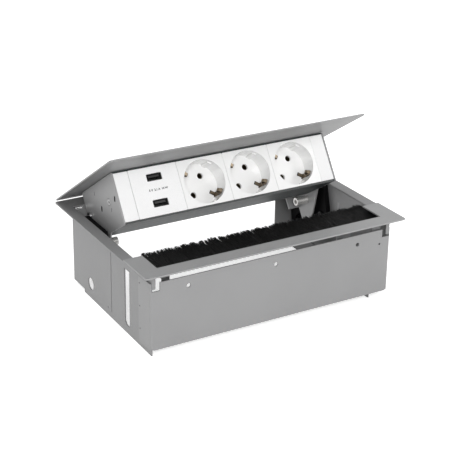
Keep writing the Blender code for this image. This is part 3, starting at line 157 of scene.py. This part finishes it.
# Fingers: how far the belly stands out, how deep the tip starts, and the two edges across the clip.
FINGERS = ((0.0040, 0.0034, -0.0013, 0.0013), (0.0015, 0.0046, -0.0025, -0.0016),
           (0.0015, 0.0046, 0.0016, 0.0025))
FINGER_END = 0.0102
FINGER_STEPS = 12
FINGER_SKEW = 0.62
FINGER_FULLNESS = 0.8
# Behind the face: the fingers' end on the shoulder, the shoulder, the strip under the floor, the foot.
FINGER_ROOT = 0.0108
SHOULDER = (0.0109, 0.0184)
STRIP_HALF = 0.0024
STRIP_V = 0.0188
FOOT_TIP = 0.0137
FOOT_V = 0.0168
FOOT_HALF = 0.0012
# Painted shade: thin black boxes in the well's wall where the clip comes out and under its feet, as: from
# and to outward, from and to behind the face, and half the width.
WALL_SHADE_SHEET = ((0.01898, 0.01908), (0.0040, 0.0112), 0.0025)
FLOOR_SHADE_SHEET = ((FOOT_TIP - 0.0008, CLIP_OUT - 0.0004), (0.01705, 0.01714), 0.0016)
BOX_FACES = ((0, 1, 3, 2), (4, 6, 7, 5), (0, 2, 6, 4), (1, 5, 7, 3), (0, 4, 5, 1), (2, 3, 7, 6))

# Painted shade in the recess of an end screw, as a black hexagon: the screw's place, then the recess's
# size and the hexagon's two depths.
END_SCREW_S = 0.072
END_SCREW_D = 0.0212
RECESS_RADIUS = 0.00115
RECESS_CORNERS = 6
RECESS_DEPTHS = (0.0009, 0.0003)

# The print on the charging module: plain numbers, centred between the two ports.
PRINT_TEXT = "5 V  2.1 A  10 W"
PRINT_X = -0.0665
PRINT_D = 0.0216
PRINT_SIZE = 0.0025
PRINT_WEIGHT = 0.00008
PRINT_STEPS = 2
PRINT_DEPTH = 0.00001
PRINT_LIFT = 0.00002

# The view: the camera's place, its three directions, and its lens.
CAMERA_PLACE = (-0.5136, -0.7867, 0.4326)
CAMERA_RIGHT = Vector((0.8739, -0.4860, 0.0071))
CAMERA_UP = Vector((0.1701, 0.3194, 0.9322))
CAMERA_BACK = Vector((-0.4554, -0.8135, 0.3618))
SENSOR_MM = 36.0
LENS_MM = 99.83
SHIFT = (0.0595, -0.1324)
SIGHT_RANGE = (0.01, 100.0)

# The floor and the light. A lamp has a place, a diameter and a power in watts.
FLOOR_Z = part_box("frame_sheet")[0][2]
FLOOR_GAP = 0.0002
FLOOR_REACH = 30.0
FLOOR_TONE = (0.86, 0.86, 0.86, 1.0)
FLOOR_ROUGHNESS = 0.9
FLOOR_GLOSS = 0.1
FLOOR_GLOW = 0.6
SKY_LIGHT = 0.55
WHITE = (1.0, 1.0, 1.0, 1.0)
LAMP_TARGET = Vector((0.0, 0.08, 0.0))
LAMPS = {"key": ((-0.9, -1.6, 0.95), 0.8, 25.0), "fill": ((1.6, -0.9, 0.9), 1.4, 10.0),
         "back": ((-0.4, 1.5, 1.3), 1.4, 5.0), "over": ((-0.3, 0.2, 2.0), 1.2, 8.0)}


def lid_point(x, s, d):
    """A point of the lid group: s in front of the hinge line, d below the lid's underside."""
    y, z = -s, -(d + LID_HALF)
    return Vector((AXIS.x + x, AXIS.y + y * math.cos(OPEN) + z * math.sin(OPEN),
                   AXIS.z - y * math.sin(OPEN) + z * math.cos(OPEN)))


def shade(colour, factor):
    return tuple(min(1.0, c * factor) for c in colour)


class Nodes:
    """A material under construction. Its patterns lie in the object's own coordinates."""

    def __init__(self, name):
        self.material = bpy.data.materials.new(name)
        self.material.use_nodes = True
        self.tree = self.material.node_tree
        self.shader = self.tree.nodes["Principled BSDF"]
        self.coords = None

    def add(self, kind, **values):
        node = self.tree.nodes.new(kind)
        for key, value in values.items():
            setattr(node, key, value)
        return node

    def link(self, start, end):
        self.tree.links.new(start, end)

    def feed(self, start, name):
        self.link(start, self.shader.inputs[name])

    def set(self, **values):
        for key, value in values.items():
            self.shader.inputs[key.replace("_", " ")].default_value = value

    def place(self):
        if self.coords is None:
            self.coords = self.add("ShaderNodeTexCoord")
        return self.coords.outputs["Object"]

    def mapped(self, scale):
        node = self.add("ShaderNodeMapping")
        node.inputs["Scale"].default_value = scale
        self.link(self.place(), node.inputs["Vector"])
        return node.outputs["Vector"]

    def noise(self, pattern, vector=None):
        node = self.add("ShaderNodeTexNoise")
        for name, value in zip(("Scale", "Detail", "Roughness"), pattern):
            node.inputs[name].default_value = value
        self.link(vector or self.place(), node.inputs["Vector"])
        return node.outputs["Fac"]

    def ramp(self, fac, low, high, span):
        node = self.add("ShaderNodeMapRange")
        node.inputs["From Min"].default_value = span[0]
        node.inputs["From Max"].default_value = span[1]
        node.inputs["To Min"].default_value = low
        node.inputs["To Max"].default_value = high
        self.link(fac, node.inputs["Value"])
        return node.outputs["Result"]

    def blend(self, fac, span, first, second):
        """A colour between two, led by fac over its span. The second may be another node's output."""
        node = self.add("ShaderNodeMix", data_type="RGBA")
        node.inputs["A"].default_value = (*first, 1.0)
        if isinstance(second, tuple):
            node.inputs["B"].default_value = (*second, 1.0)
        else:
            self.link(second, node.inputs["B"])
        self.link(self.ramp(fac, 0.0, 1.0, span), node.inputs["Factor"])
        return node.outputs["Result"]

    def mottle(self, colour, tones, fac, span):
        return self.blend(fac, span, shade(colour, tones[0]), shade(colour, tones[1]))

    def roughen(self, fac, low, high):
        self.feed(self.ramp(fac, low, high, FINE_SPAN), "Roughness")

    def bump(self, height, strength, distance):
        node = self.add("ShaderNodeBump")
        node.inputs["Strength"].default_value = strength
        node.inputs["Distance"].default_value = distance
        self.link(height, node.inputs["Height"])
        self.feed(node.outputs["Normal"], "Normal")


def coated_steel(name, colour):
    """Powder coat: a faint cloud in the colour and a fine grain."""
    m = Nodes(name)
    m.set(Metallic=POWDER_METALLIC)
    m.feed(m.mottle(colour, POWDER_TONES, m.noise(POWDER_CLOUD), CLOUD_SPAN), "Base Color")
    grain = m.noise(POWDER_GRAIN)
    m.roughen(grain, POWDER_ROUGHNESS - POWDER_SPREAD[0], POWDER_ROUGHNESS + POWDER_SPREAD[1])
    m.bump(grain, *POWDER_BUMP)
    return m.material


def anodised(name, colour, rough):
    """Anodised aluminium with lines along X, and a painted highlight that makes it paler along the
    housing's lowest front edge.
    """
    m = Nodes(name)
    m.set(Metallic=ANODISED_METALLIC, Specular_IOR_Level=ANODISED_GLOSS)
    lines = m.noise(METAL_LINES, m.mapped(ANODISED_STRETCH))
    skin = m.mottle(colour, ANODISED_TONES, lines, FINE_SPAN)
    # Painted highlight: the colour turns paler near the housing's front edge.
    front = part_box("housing_profile")[0][1]
    across = m.add("ShaderNodeSeparateXYZ")
    m.link(m.place(), across.inputs["Vector"])
    fade = (front + LIP_HIGHLIGHT_FADE[0], front + LIP_HIGHLIGHT_FADE[1])
    m.feed(m.blend(across.outputs["Y"], fade, LIP_HIGHLIGHT_COLOUR, skin), "Base Color")
    m.roughen(lines, rough - ANODISED_SPREAD[0], rough + ANODISED_SPREAD[1])
    m.bump(lines, *ANODISED_BUMP)
    return m.material


def plastic(name, colour, rough, coat=0.0, gloss=0.5):
    """Moulded plastic: a very faint cloud and a fine skin."""
    m = Nodes(name)
    m.set(Coat_Weight=coat, Coat_Roughness=CLEAR_COAT_ROUGHNESS, IOR=PLASTIC_IOR, Specular_IOR_Level=gloss)
    m.feed(m.mottle(colour, PLASTIC_TONES, m.noise(PLASTIC_CLOUD), CLOUD_SPAN), "Base Color")
    skin = m.noise(PLASTIC_SKIN)
    m.roughen(skin, rough - PLASTIC_SPREAD[0], rough + PLASTIC_SPREAD[1])
    m.bump(skin, *PLASTIC_BUMP)
    return m.material


def bright_metal(name, colour, rough, scratch=0.15, metallic=1.0):
    """Bare or plated metal with fine lines along X."""
    m = Nodes(name)
    m.set(Metallic=metallic)
    lines = m.noise(METAL_LINES, m.mapped(METAL_STRETCH))
    m.feed(m.mottle(colour, METAL_TONES, lines, FINE_SPAN), "Base Color")
    m.roughen(lines, rough - METAL_SPREAD[0], rough + METAL_SPREAD[1])
    m.bump(lines, scratch, METAL_BUMP_HEIGHT)
    return m.material


def nylon(name):
    """The bristles' nylon, streaked along their length."""
    m = Nodes(name)
    m.set(IOR=NYLON_IOR, Specular_IOR_Level=NYLON_GLOSS)
    streak = m.noise(NYLON_STREAKS, m.mapped(NYLON_STRETCH))
    m.feed(m.blend(streak, STREAK_SPAN, *NYLON_COLOURS), "Base Color")
    m.roughen(streak, *NYLON_ROUGHNESS)
    return m.material


MATERIALS = {
    "frame_sheet": coated_steel("frame_coat", (0.237, 0.237, 0.239)),
    "front_panel": coated_steel("panel_coat", (0.27, 0.27, 0.272)),
    # The trim's coat is set paler than the frame's; part of that is painted light from above on the trim's
    # top.
    "front_trim": coated_steel("trim_coat_and_painted_light", (0.3, 0.301, 0.303)),
    "lid_plate": coated_steel("lid_coat", (0.262, 0.263, 0.265)),
    # The bracket's coat is much darker than the frame's: painted shade of the dark gap between the trim
    # and the panel at the right end.
    "brush_bracket": coated_steel("bracket_coat_painted_shade", (0.13, 0.13, 0.132)),
    # The end plates' coat is set paler than the frame's; part of that is painted light, in place of lamp
    # light that the end plates lack.
    "end_plate": coated_steel("end_plate_coat_and_painted_light", (0.32, 0.32, 0.322)),
    "brush_holder": plastic("holder_black", (0.02, 0.02, 0.02), 0.5),
    "guide_plate": plastic("guide_black", (0.003, 0.003, 0.0033), 0.6, gloss=0.06),
    "guide_screw": plastic("guide_screw_black", (0.01, 0.01, 0.01), 0.45, gloss=0.3),
    "stop_pin": bright_metal("stop_pin_steel", (0.8, 0.8, 0.8), 0.14),
    "hinge_pin": bright_metal("hinge_pin_steel", (0.6, 0.6, 0.6), 0.25),
    "housing_profile": anodised("profile_anodised", (0.04, 0.048, 0.049), 0.45),
    "end_cap": plastic("cap_white", (0.86, 0.86, 0.86), 0.3),
    "end_screw": bright_metal("end_screw_chrome", (0.5, 0.5, 0.5), 0.32, metallic=0.8),
    "rear_screw": bright_metal("rear_screw_steel", (0.5, 0.5, 0.5), 0.25),
    "guide_bolt": bright_metal("guide_bolt_chrome", (0.66, 0.65, 0.63), 0.25, metallic=0.6),
    "friction_bush": bright_metal("bush_steel", (0.35, 0.35, 0.35), 0.35),
    "socket_cover": plastic("socket_white", (0.87, 0.87, 0.865), 0.22, coat=0.6),
    "socket_base": plastic("socket_base_grey", (0.2, 0.2, 0.2), 0.5),
    "earth_clip": bright_metal("earth_clip_brass", (0.26, 0.21, 0.15), 0.3, 0.3, metallic=0.9),
    "contact_tube": bright_metal("contact_brass", (0.1, 0.07, 0.035), 0.45),
    "charger_cover": plastic("charger_white", (0.87, 0.87, 0.87), 0.28),
    "port_shell": bright_metal("port_nickel", (0.06, 0.06, 0.06), 0.45, metallic=0.6),
    "port_insulator": plastic("port_black", (0.014, 0.014, 0.014), 0.4),
    "charger_board": plastic("board_green", (0.02, 0.12, 0.05), 0.4),
    "charger_body": plastic("charger_body_grey", (0.2, 0.2, 0.2), 0.5),
    "supply_inlet": plastic("inlet_black", (0.014, 0.014, 0.015), 0.4),
    "inlet_pin": bright_metal("inlet_pin_brass", (0.66, 0.56, 0.34), 0.25),
    "brush_bristles": plastic("bristle_black", (0.008, 0.008, 0.008), 0.6),
}


def dress_nodes():
    """Gives each node the finish with the longest name that its own name starts with."""
    for name, node in NODES.items():
        finish = MATERIALS[max((key for key in MATERIALS if name.startswith(key)), key=len)]
        if not node.material_slots:
            node.data.materials.append(finish)
            continue
        for slot in node.material_slots:
            slot.material = finish


def wave(x, height, length, start):
    return height * np.sin(x / length * 2 * math.pi + start)


def bristle_rings():
    """The rings of all bristles: gathered in small tufts, leaning one way, and kept in the strip's box."""
    low, high = (Vector(corner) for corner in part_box("brush_bristles"))
    rng = np.random.default_rng(BRISTLE_SEED)
    mouth = low.y + BRISTLE_MOUTH
    root_x = rng.uniform(low.x + ROOT_LEFT_GAP, high.x - ROOT_RIGHT_GAP, BRISTLES)
    borders = np.cumsum(rng.uniform(*TUFT_WIDTH, TUFTS)) + low.x
    tuft = np.searchsorted(borders, root_x)
    middles = np.concatenate([[low.x], (borders[:-1] + borders[1:]) / 2, [high.x]])
    tuft_length = rng.normal(0.0, TUFT_LENGTH_SPREAD, TUFTS + 2)[tuft]
    tuft_shift = rng.normal(0.0, TUFT_SHIFT_SPREAD, TUFTS + 2)[tuft]
    lift = rng.uniform(0.0, 1.0, BRISTLES)
    root_z = low.z + ROOT_LOW_GAP + lift * (high.z - low.z - ROOT_GAPS_Z)
    span = high.y - TIP_BACK_GAP - mouth
    waves = wave(root_x, *LONG_WAVE) + wave(root_x, *SHORT_WAVE)
    length = span - SHORTER_BY + tuft_length + waves + rng.normal(0.0, LENGTH_SPREAD, BRISTLES)
    length = np.clip(length, span * SHORTEST, span)
    drift = LEAN * (LEAN_LEAST + LEAN_RANGE * rng.random(BRISTLES))
    drift = drift + rng.normal(0.0, LEAN_SPREAD, BRISTLES) + tuft_shift
    tip_x = root_x + drift + TUFT_PULL * (middles[tuft] - root_x)
    tip_x = np.clip(tip_x, low.x + TIP_GAP, high.x - TIP_GAP)
    tip_lift = np.clip(lift + rng.normal(0.0, LIFT_SPREAD, BRISTLES), 0.0, 1.0)
    tip_z = low.z + TIP_GAP + tip_lift * (high.z - low.z - 2 * TIP_GAP)
    bow = rng.normal(0.0, BOW_SPREAD, BRISTLES)
    corners = []
    for t in np.linspace(0.0, 1.0, BRISTLE_RINGS):
        x = root_x + (tip_x - root_x) * t ** LEAN_POWER + bow * math.sin(math.pi * t)
        y = (low.y + ROOT_FRONT_GAP) + (mouth - low.y - ROOT_FRONT_GAP + length) * t
        z = root_z + (tip_z - root_z) * min(1.0, FAN_OUT * t)
        radius = BRISTLE_RADIUS if t < 1.0 else BRISTLE_TIP_RADIUS
        for side in range(BRISTLE_SIDES):
            angle = 2 * math.pi * side / BRISTLE_SIDES + BRISTLE_TURN
            corners.append(np.stack([np.clip(x + radius * math.cos(angle), low.x, high.x), y,
                                     np.clip(z + radius * math.sin(angle), low.z, high.z)], axis=1))
    return np.stack(corners, axis=1).reshape(-1, 3)


def bristle_faces():
    """The four-cornered faces between the rings of all bristles."""
    base = np.arange(BRISTLES) * BRISTLE_RINGS * BRISTLE_SIDES
    faces = []
    for ring in range(BRISTLE_RINGS - 1):
        for side in range(BRISTLE_SIDES):
            a = base + ring * BRISTLE_SIDES + side
            b = base + ring * BRISTLE_SIDES + (side + 1) % BRISTLE_SIDES
            faces.append(np.stack([a, b, b + BRISTLE_SIDES, a + BRISTLE_SIDES], axis=1))
    return np.concatenate(faces)


def brush_strands():
    """Separate nylon bristles in place of the solid strip, held in the strip's channel."""
    verts, faces = bristle_rings(), bristle_faces()
    mesh = bpy.data.meshes.new("bristles")
    mesh.vertices.add(len(verts))
    mesh.vertices.foreach_set("co", verts.astype(np.float32).ravel())
    mesh.loops.add(faces.size)
    mesh.loops.foreach_set("vertex_index", faces.astype(np.int32).ravel())
    mesh.polygons.add(len(faces))
    mesh.polygons.foreach_set("loop_start", np.arange(0, faces.size, faces.shape[1], dtype=np.int32))
    mesh.update(calc_edges=True)
    mesh.validate()
    mesh.shade_smooth()
    mesh.materials.append(nylon("bristle_nylon"))
    piece = bpy.data.objects.new("bristles", mesh)
    scene.collection.objects.link(piece)
    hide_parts("brush_bristles")
    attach(piece, "frame")


def lid_piece(name, shape, material):
    """Turns a finished shape into a piece that rides on the lid."""
    bmesh.ops.recalc_face_normals(shape, faces=shape.faces)
    mesh = bpy.data.meshes.new(name)
    shape.to_mesh(mesh)
    shape.free()
    mesh.materials.append(material)
    piece = bpy.data.objects.new(name, mesh)
    scene.collection.objects.link(piece)
    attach(piece, "lid")
    return piece


# A black piece that paints shade, in the black of the ports' insulators.
def painted_shade_piece(name, shape):
    lid_piece(name, shape, MATERIALS["port_insulator"])


def loft(shape, loops):
    """Closes a stack of loops of corners, given as places, into one body."""
    rings = [[shape.verts.new(place) for place in loop] for loop in loops]
    for first, second in zip(rings, rings[1:]):
        for k in range(len(first)):
            after = (k + 1) % len(first)
            shape.faces.new((first[k], first[after], second[after], second[k]))
    shape.faces.new(rings[0])
    shape.faces.new(rings[-1])


def vent_shade_plug(side, sheet_out, s, d, wide, tall):
    """A black plug with round ends that paints the shade in a vent, upright while the lid stands open."""
    centre = lid_point(0.0, s, d)
    half, straight = wide / 2 - VENT_GAP, (tall - wide) / 2
    outline = []
    for step in range(VENT_STEPS):
        angle = 2 * math.pi * (step + 0.5) / VENT_STEPS
        up = straight if math.sin(angle) > 0 else -straight
        outline.append((half * math.cos(angle), up + half * math.sin(angle)))
    loops = []
    for inset, depth in VENT_LOOPS:
        narrower, shorter = 1.0 - inset / half, 1.0 - inset / (tall / 2)
        loops.append([(side * (sheet_out - depth), centre.y + y * narrower, centre.z + z * shorter)
                      for y, z in outline])
    shape = bmesh.new()
    loft(shape, loops)
    return shape


def vent_shade_plugs():
    """Black plugs in the end plates' vents and slits, which paint the shade in these openings."""
    black = plastic("vent_shade_black", (0.003, 0.003, 0.003), 0.6, gloss=0.1)
    sheet_out = -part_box("end_plate_left")[0][0]
    for side, label in ((-1, "left"), (1, "right")):
        for number, vent in enumerate(VENTS, 1):
            shape = vent_shade_plug(side, sheet_out, *vent)
            lid_piece("vent_plug_%s_%d" % (label, number), shape, black)


def clip_point(x, u, v, w):
    """A point of a socket: u outward along the clip, v behind the face, w across the clip."""
    right = u * math.cos(CLIP_TURN) + w * math.sin(CLIP_TURN)
    rise = w * math.cos(CLIP_TURN) - u * math.sin(CLIP_TURN)
    return lid_point(x + right, FACE_S - v, WELL_D - rise)


def leaf(shape, x, side, path, w_low, w_high):
    """A thin strip of constant thickness that follows a path of (u, v) places."""
    loops = []
    for index, (u, v) in enumerate(path):
        before = path[max(0, index - 1)]
        after = path[min(len(path) - 1, index + 1)]
        du, dv = after[0] - before[0], after[1] - before[1]
        size = math.hypot(du, dv)
        nu, nv = dv / size * CLIP_LEAF / 2, -du / size * CLIP_LEAF / 2
        loops.append([clip_point(x, side * (u + k * nu), v + k * nv, w)
                      for k, w in ((-1, w_low), (-1, w_high), (1, w_high), (1, w_low))])
    loft(shape, loops)


def bulge(depth, start):
    """The side view of one spring finger: a curled tip, a belly and a shoulder at the wall."""
    path = []
    for step in range(FINGER_STEPS + 1):
        v = start + (FINGER_END - start) * step / FINGER_STEPS
        t = (v - start) / (FINGER_END - start)
        path.append((CLIP_WALL - depth * math.sin(math.pi * t ** FINGER_SKEW) ** FINGER_FULLNESS, v))
    return path + [(CLIP_WALL, FINGER_ROOT)]


def spring_clip(number, x):
    """A sprung earth clip: on each side three fingers on one shoulder, and a foot on the well's floor."""
    shape = bmesh.new()
    for side in (-1, 1):
        for depth, start, w_low, w_high in FINGERS:
            leaf(shape, x, side, bulge(depth, start), w_low, w_high)
        leaf(shape, x, side, [(CLIP_WALL, v) for v in SHOULDER], -STRIP_HALF, STRIP_HALF)
        leaf(shape, x, side, [(CLIP_WALL, FOOT_V), (FOOT_TIP, FOOT_V)], -FOOT_HALF, FOOT_HALF)
    leaf(shape, x, 1, [(CLIP_OUT, STRIP_V), (-CLIP_OUT, STRIP_V)], -STRIP_HALF, STRIP_HALF)
    piece = lid_piece("clip_springs_%d" % number, shape, MATERIALS["earth_clip"])
    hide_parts("earth_clip_%d" % number)


def clip_shade_sheets(number, x):
    """Thin black boxes that paint the shade of the openings that the clip comes out of, in the well's wall
    and under its feet.
    """
    shape = bmesh.new()
    for side in (-1, 1):
        for along, deep, half in (WALL_SHADE_SHEET, FLOOR_SHADE_SHEET):
            verts = [shape.verts.new(clip_point(x, side * u, v, w))
                     for u in along for v in deep for w in (-half, half)]
            for face in BOX_FACES:
                shape.faces.new([verts[k] for k in face])
    painted_shade_piece("clip_windows_%d" % number, shape)


def screw_recess_shade(side, label):
    """A black hexagon in an end screw's head: painted shade in its recess."""
    low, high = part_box("end_screw_" + label)
    top = max(abs(low[0]), abs(high[0]))
    centre = lid_point(0.0, END_SCREW_S, END_SCREW_D)
    angles = [k * 2 * math.pi / RECESS_CORNERS for k in range(RECESS_CORNERS)]
    shape = bmesh.new()
    loft(shape, [[(side * (top - depth), centre.y + RECESS_RADIUS * math.cos(angle),
                   centre.z + RECESS_RADIUS * math.sin(angle)) for angle in angles]
                 for depth in RECESS_DEPTHS])
    painted_shade_piece("screw_recess_shade_" + label, shape)


def rating_print():
    """Small plain numbers between the charging ports, printed on the face."""
    curve = bpy.data.curves.new("rating", "FONT")
    curve.body = PRINT_TEXT
    curve.size = PRINT_SIZE
    curve.offset = PRINT_WEIGHT
    curve.align_x = "CENTER"
    curve.align_y = "CENTER"
    curve.resolution_u = PRINT_STEPS
    curve.extrude = PRINT_DEPTH
    source = bpy.data.objects.new("rating", curve)
    scene.collection.objects.link(source)
    bpy.context.view_layer.update()
    mesh = bpy.data.meshes.new_from_object(source)
    bpy.data.objects.remove(source)
    shape = bmesh.new()
    shape.from_mesh(mesh)
    bpy.data.meshes.remove(mesh)
    for vert in shape.verts:
        x, rise, out = vert.co
        vert.co = lid_point(PRINT_X + x, FACE_S + PRINT_LIFT + out, PRINT_D - rise)
    ink = plastic("print_grey", (0.01, 0.01, 0.01), 0.6, gloss=0.2)
    lid_piece("rating_print", shape, ink)


def place_camera():
    data = bpy.data.cameras.new("camera")
    data.sensor_fit = "HORIZONTAL"
    data.sensor_width = SENSOR_MM
    data.lens = LENS_MM
    data.shift_x, data.shift_y = SHIFT
    data.clip_start, data.clip_end = SIGHT_RANGE
    camera = bpy.data.objects.new("camera", data)
    scene.collection.objects.link(camera)
    turn = Matrix((CAMERA_RIGHT, CAMERA_UP, CAMERA_BACK)).transposed().to_4x4()
    camera.matrix_world = Matrix.Translation(CAMERA_PLACE) @ turn
    scene.camera = camera


def seen_directly(tree):
    """1 for rays from the camera, off a gloss or through glass, and 0 for all others."""
    paths = tree.nodes.new("ShaderNodeLightPath")
    value = paths.outputs["Is Camera Ray"]
    for kind in ("Is Glossy Ray", "Is Transmission Ray"):
        either = tree.nodes.new("ShaderNodeMath")
        either.operation = "MAXIMUM"
        tree.links.new(value, either.inputs[0])
        tree.links.new(paths.outputs[kind], either.inputs[1])
        value = either.outputs[0]
    return value


def lay_floor():
    """A pale floor. It glows where it is seen directly, and lights the part only by what it reflects."""
    r = FLOOR_REACH
    mesh = bpy.data.meshes.new("floor")
    mesh.from_pydata([(-r, -r, 0), (r, -r, 0), (r, r, 0), (-r, r, 0)], [], [(0, 1, 2, 3)])
    floor = bpy.data.objects.new("floor", mesh)
    scene.collection.objects.link(floor)
    floor.location.z = FLOOR_Z - FLOOR_GAP
    pale = Nodes("pale_floor")
    pale.set(Base_Color=FLOOR_TONE, Roughness=FLOOR_ROUGHNESS, Specular_IOR_Level=FLOOR_GLOSS,
             Emission_Color=WHITE)
    level = pale.add("ShaderNodeMath", operation="MULTIPLY")
    level.inputs[1].default_value = FLOOR_GLOW
    pale.link(seen_directly(pale.tree), level.inputs[0])
    pale.feed(level.outputs[0], "Emission Strength")
    mesh.materials.append(pale.material)


def light_world():
    """White where it is seen directly, and a weaker light from all round."""
    world = bpy.data.worlds.new("studio")
    scene.world = world
    world.use_nodes = True
    tree = world.node_tree
    for node in list(tree.nodes):
        tree.nodes.remove(node)
    light = tree.nodes.new("ShaderNodeBackground")
    light.inputs["Strength"].default_value = SKY_LIGHT
    shown = tree.nodes.new("ShaderNodeBackground")
    shown.inputs["Color"].default_value = WHITE
    mix = tree.nodes.new("ShaderNodeMixShader")
    output = tree.nodes.new("ShaderNodeOutputWorld")
    tree.links.new(seen_directly(tree), mix.inputs["Fac"])
    tree.links.new(light.outputs[0], mix.inputs[1])
    tree.links.new(shown.outputs[0], mix.inputs[2])
    tree.links.new(mix.outputs[0], output.inputs["Surface"])


def hang_lamps():
    for name, (place, size, power) in LAMPS.items():
        data = bpy.data.lights.new(name, "AREA")
        data.shape = "DISK"
        data.size = size
        data.energy = power
        lamp = bpy.data.objects.new(name, data)
        scene.collection.objects.link(lamp)
        lamp.location = place
        lamp.rotation_euler = (LAMP_TARGET - Vector(place)).to_track_quat("-Z", "Y").to_euler()


dress_nodes()
brush_strands()
vent_shade_plugs()
for number, x in enumerate(WELLS_X, 1):
    spring_clip(number, x)
    clip_shade_sheets(number, x)
rating_print()
screw_recess_shade(-1, "left")
screw_recess_shade(1, "right")
place_camera()
lay_floor()
light_world()
hang_lamps()
scene.view_settings.view_transform = "Standard"
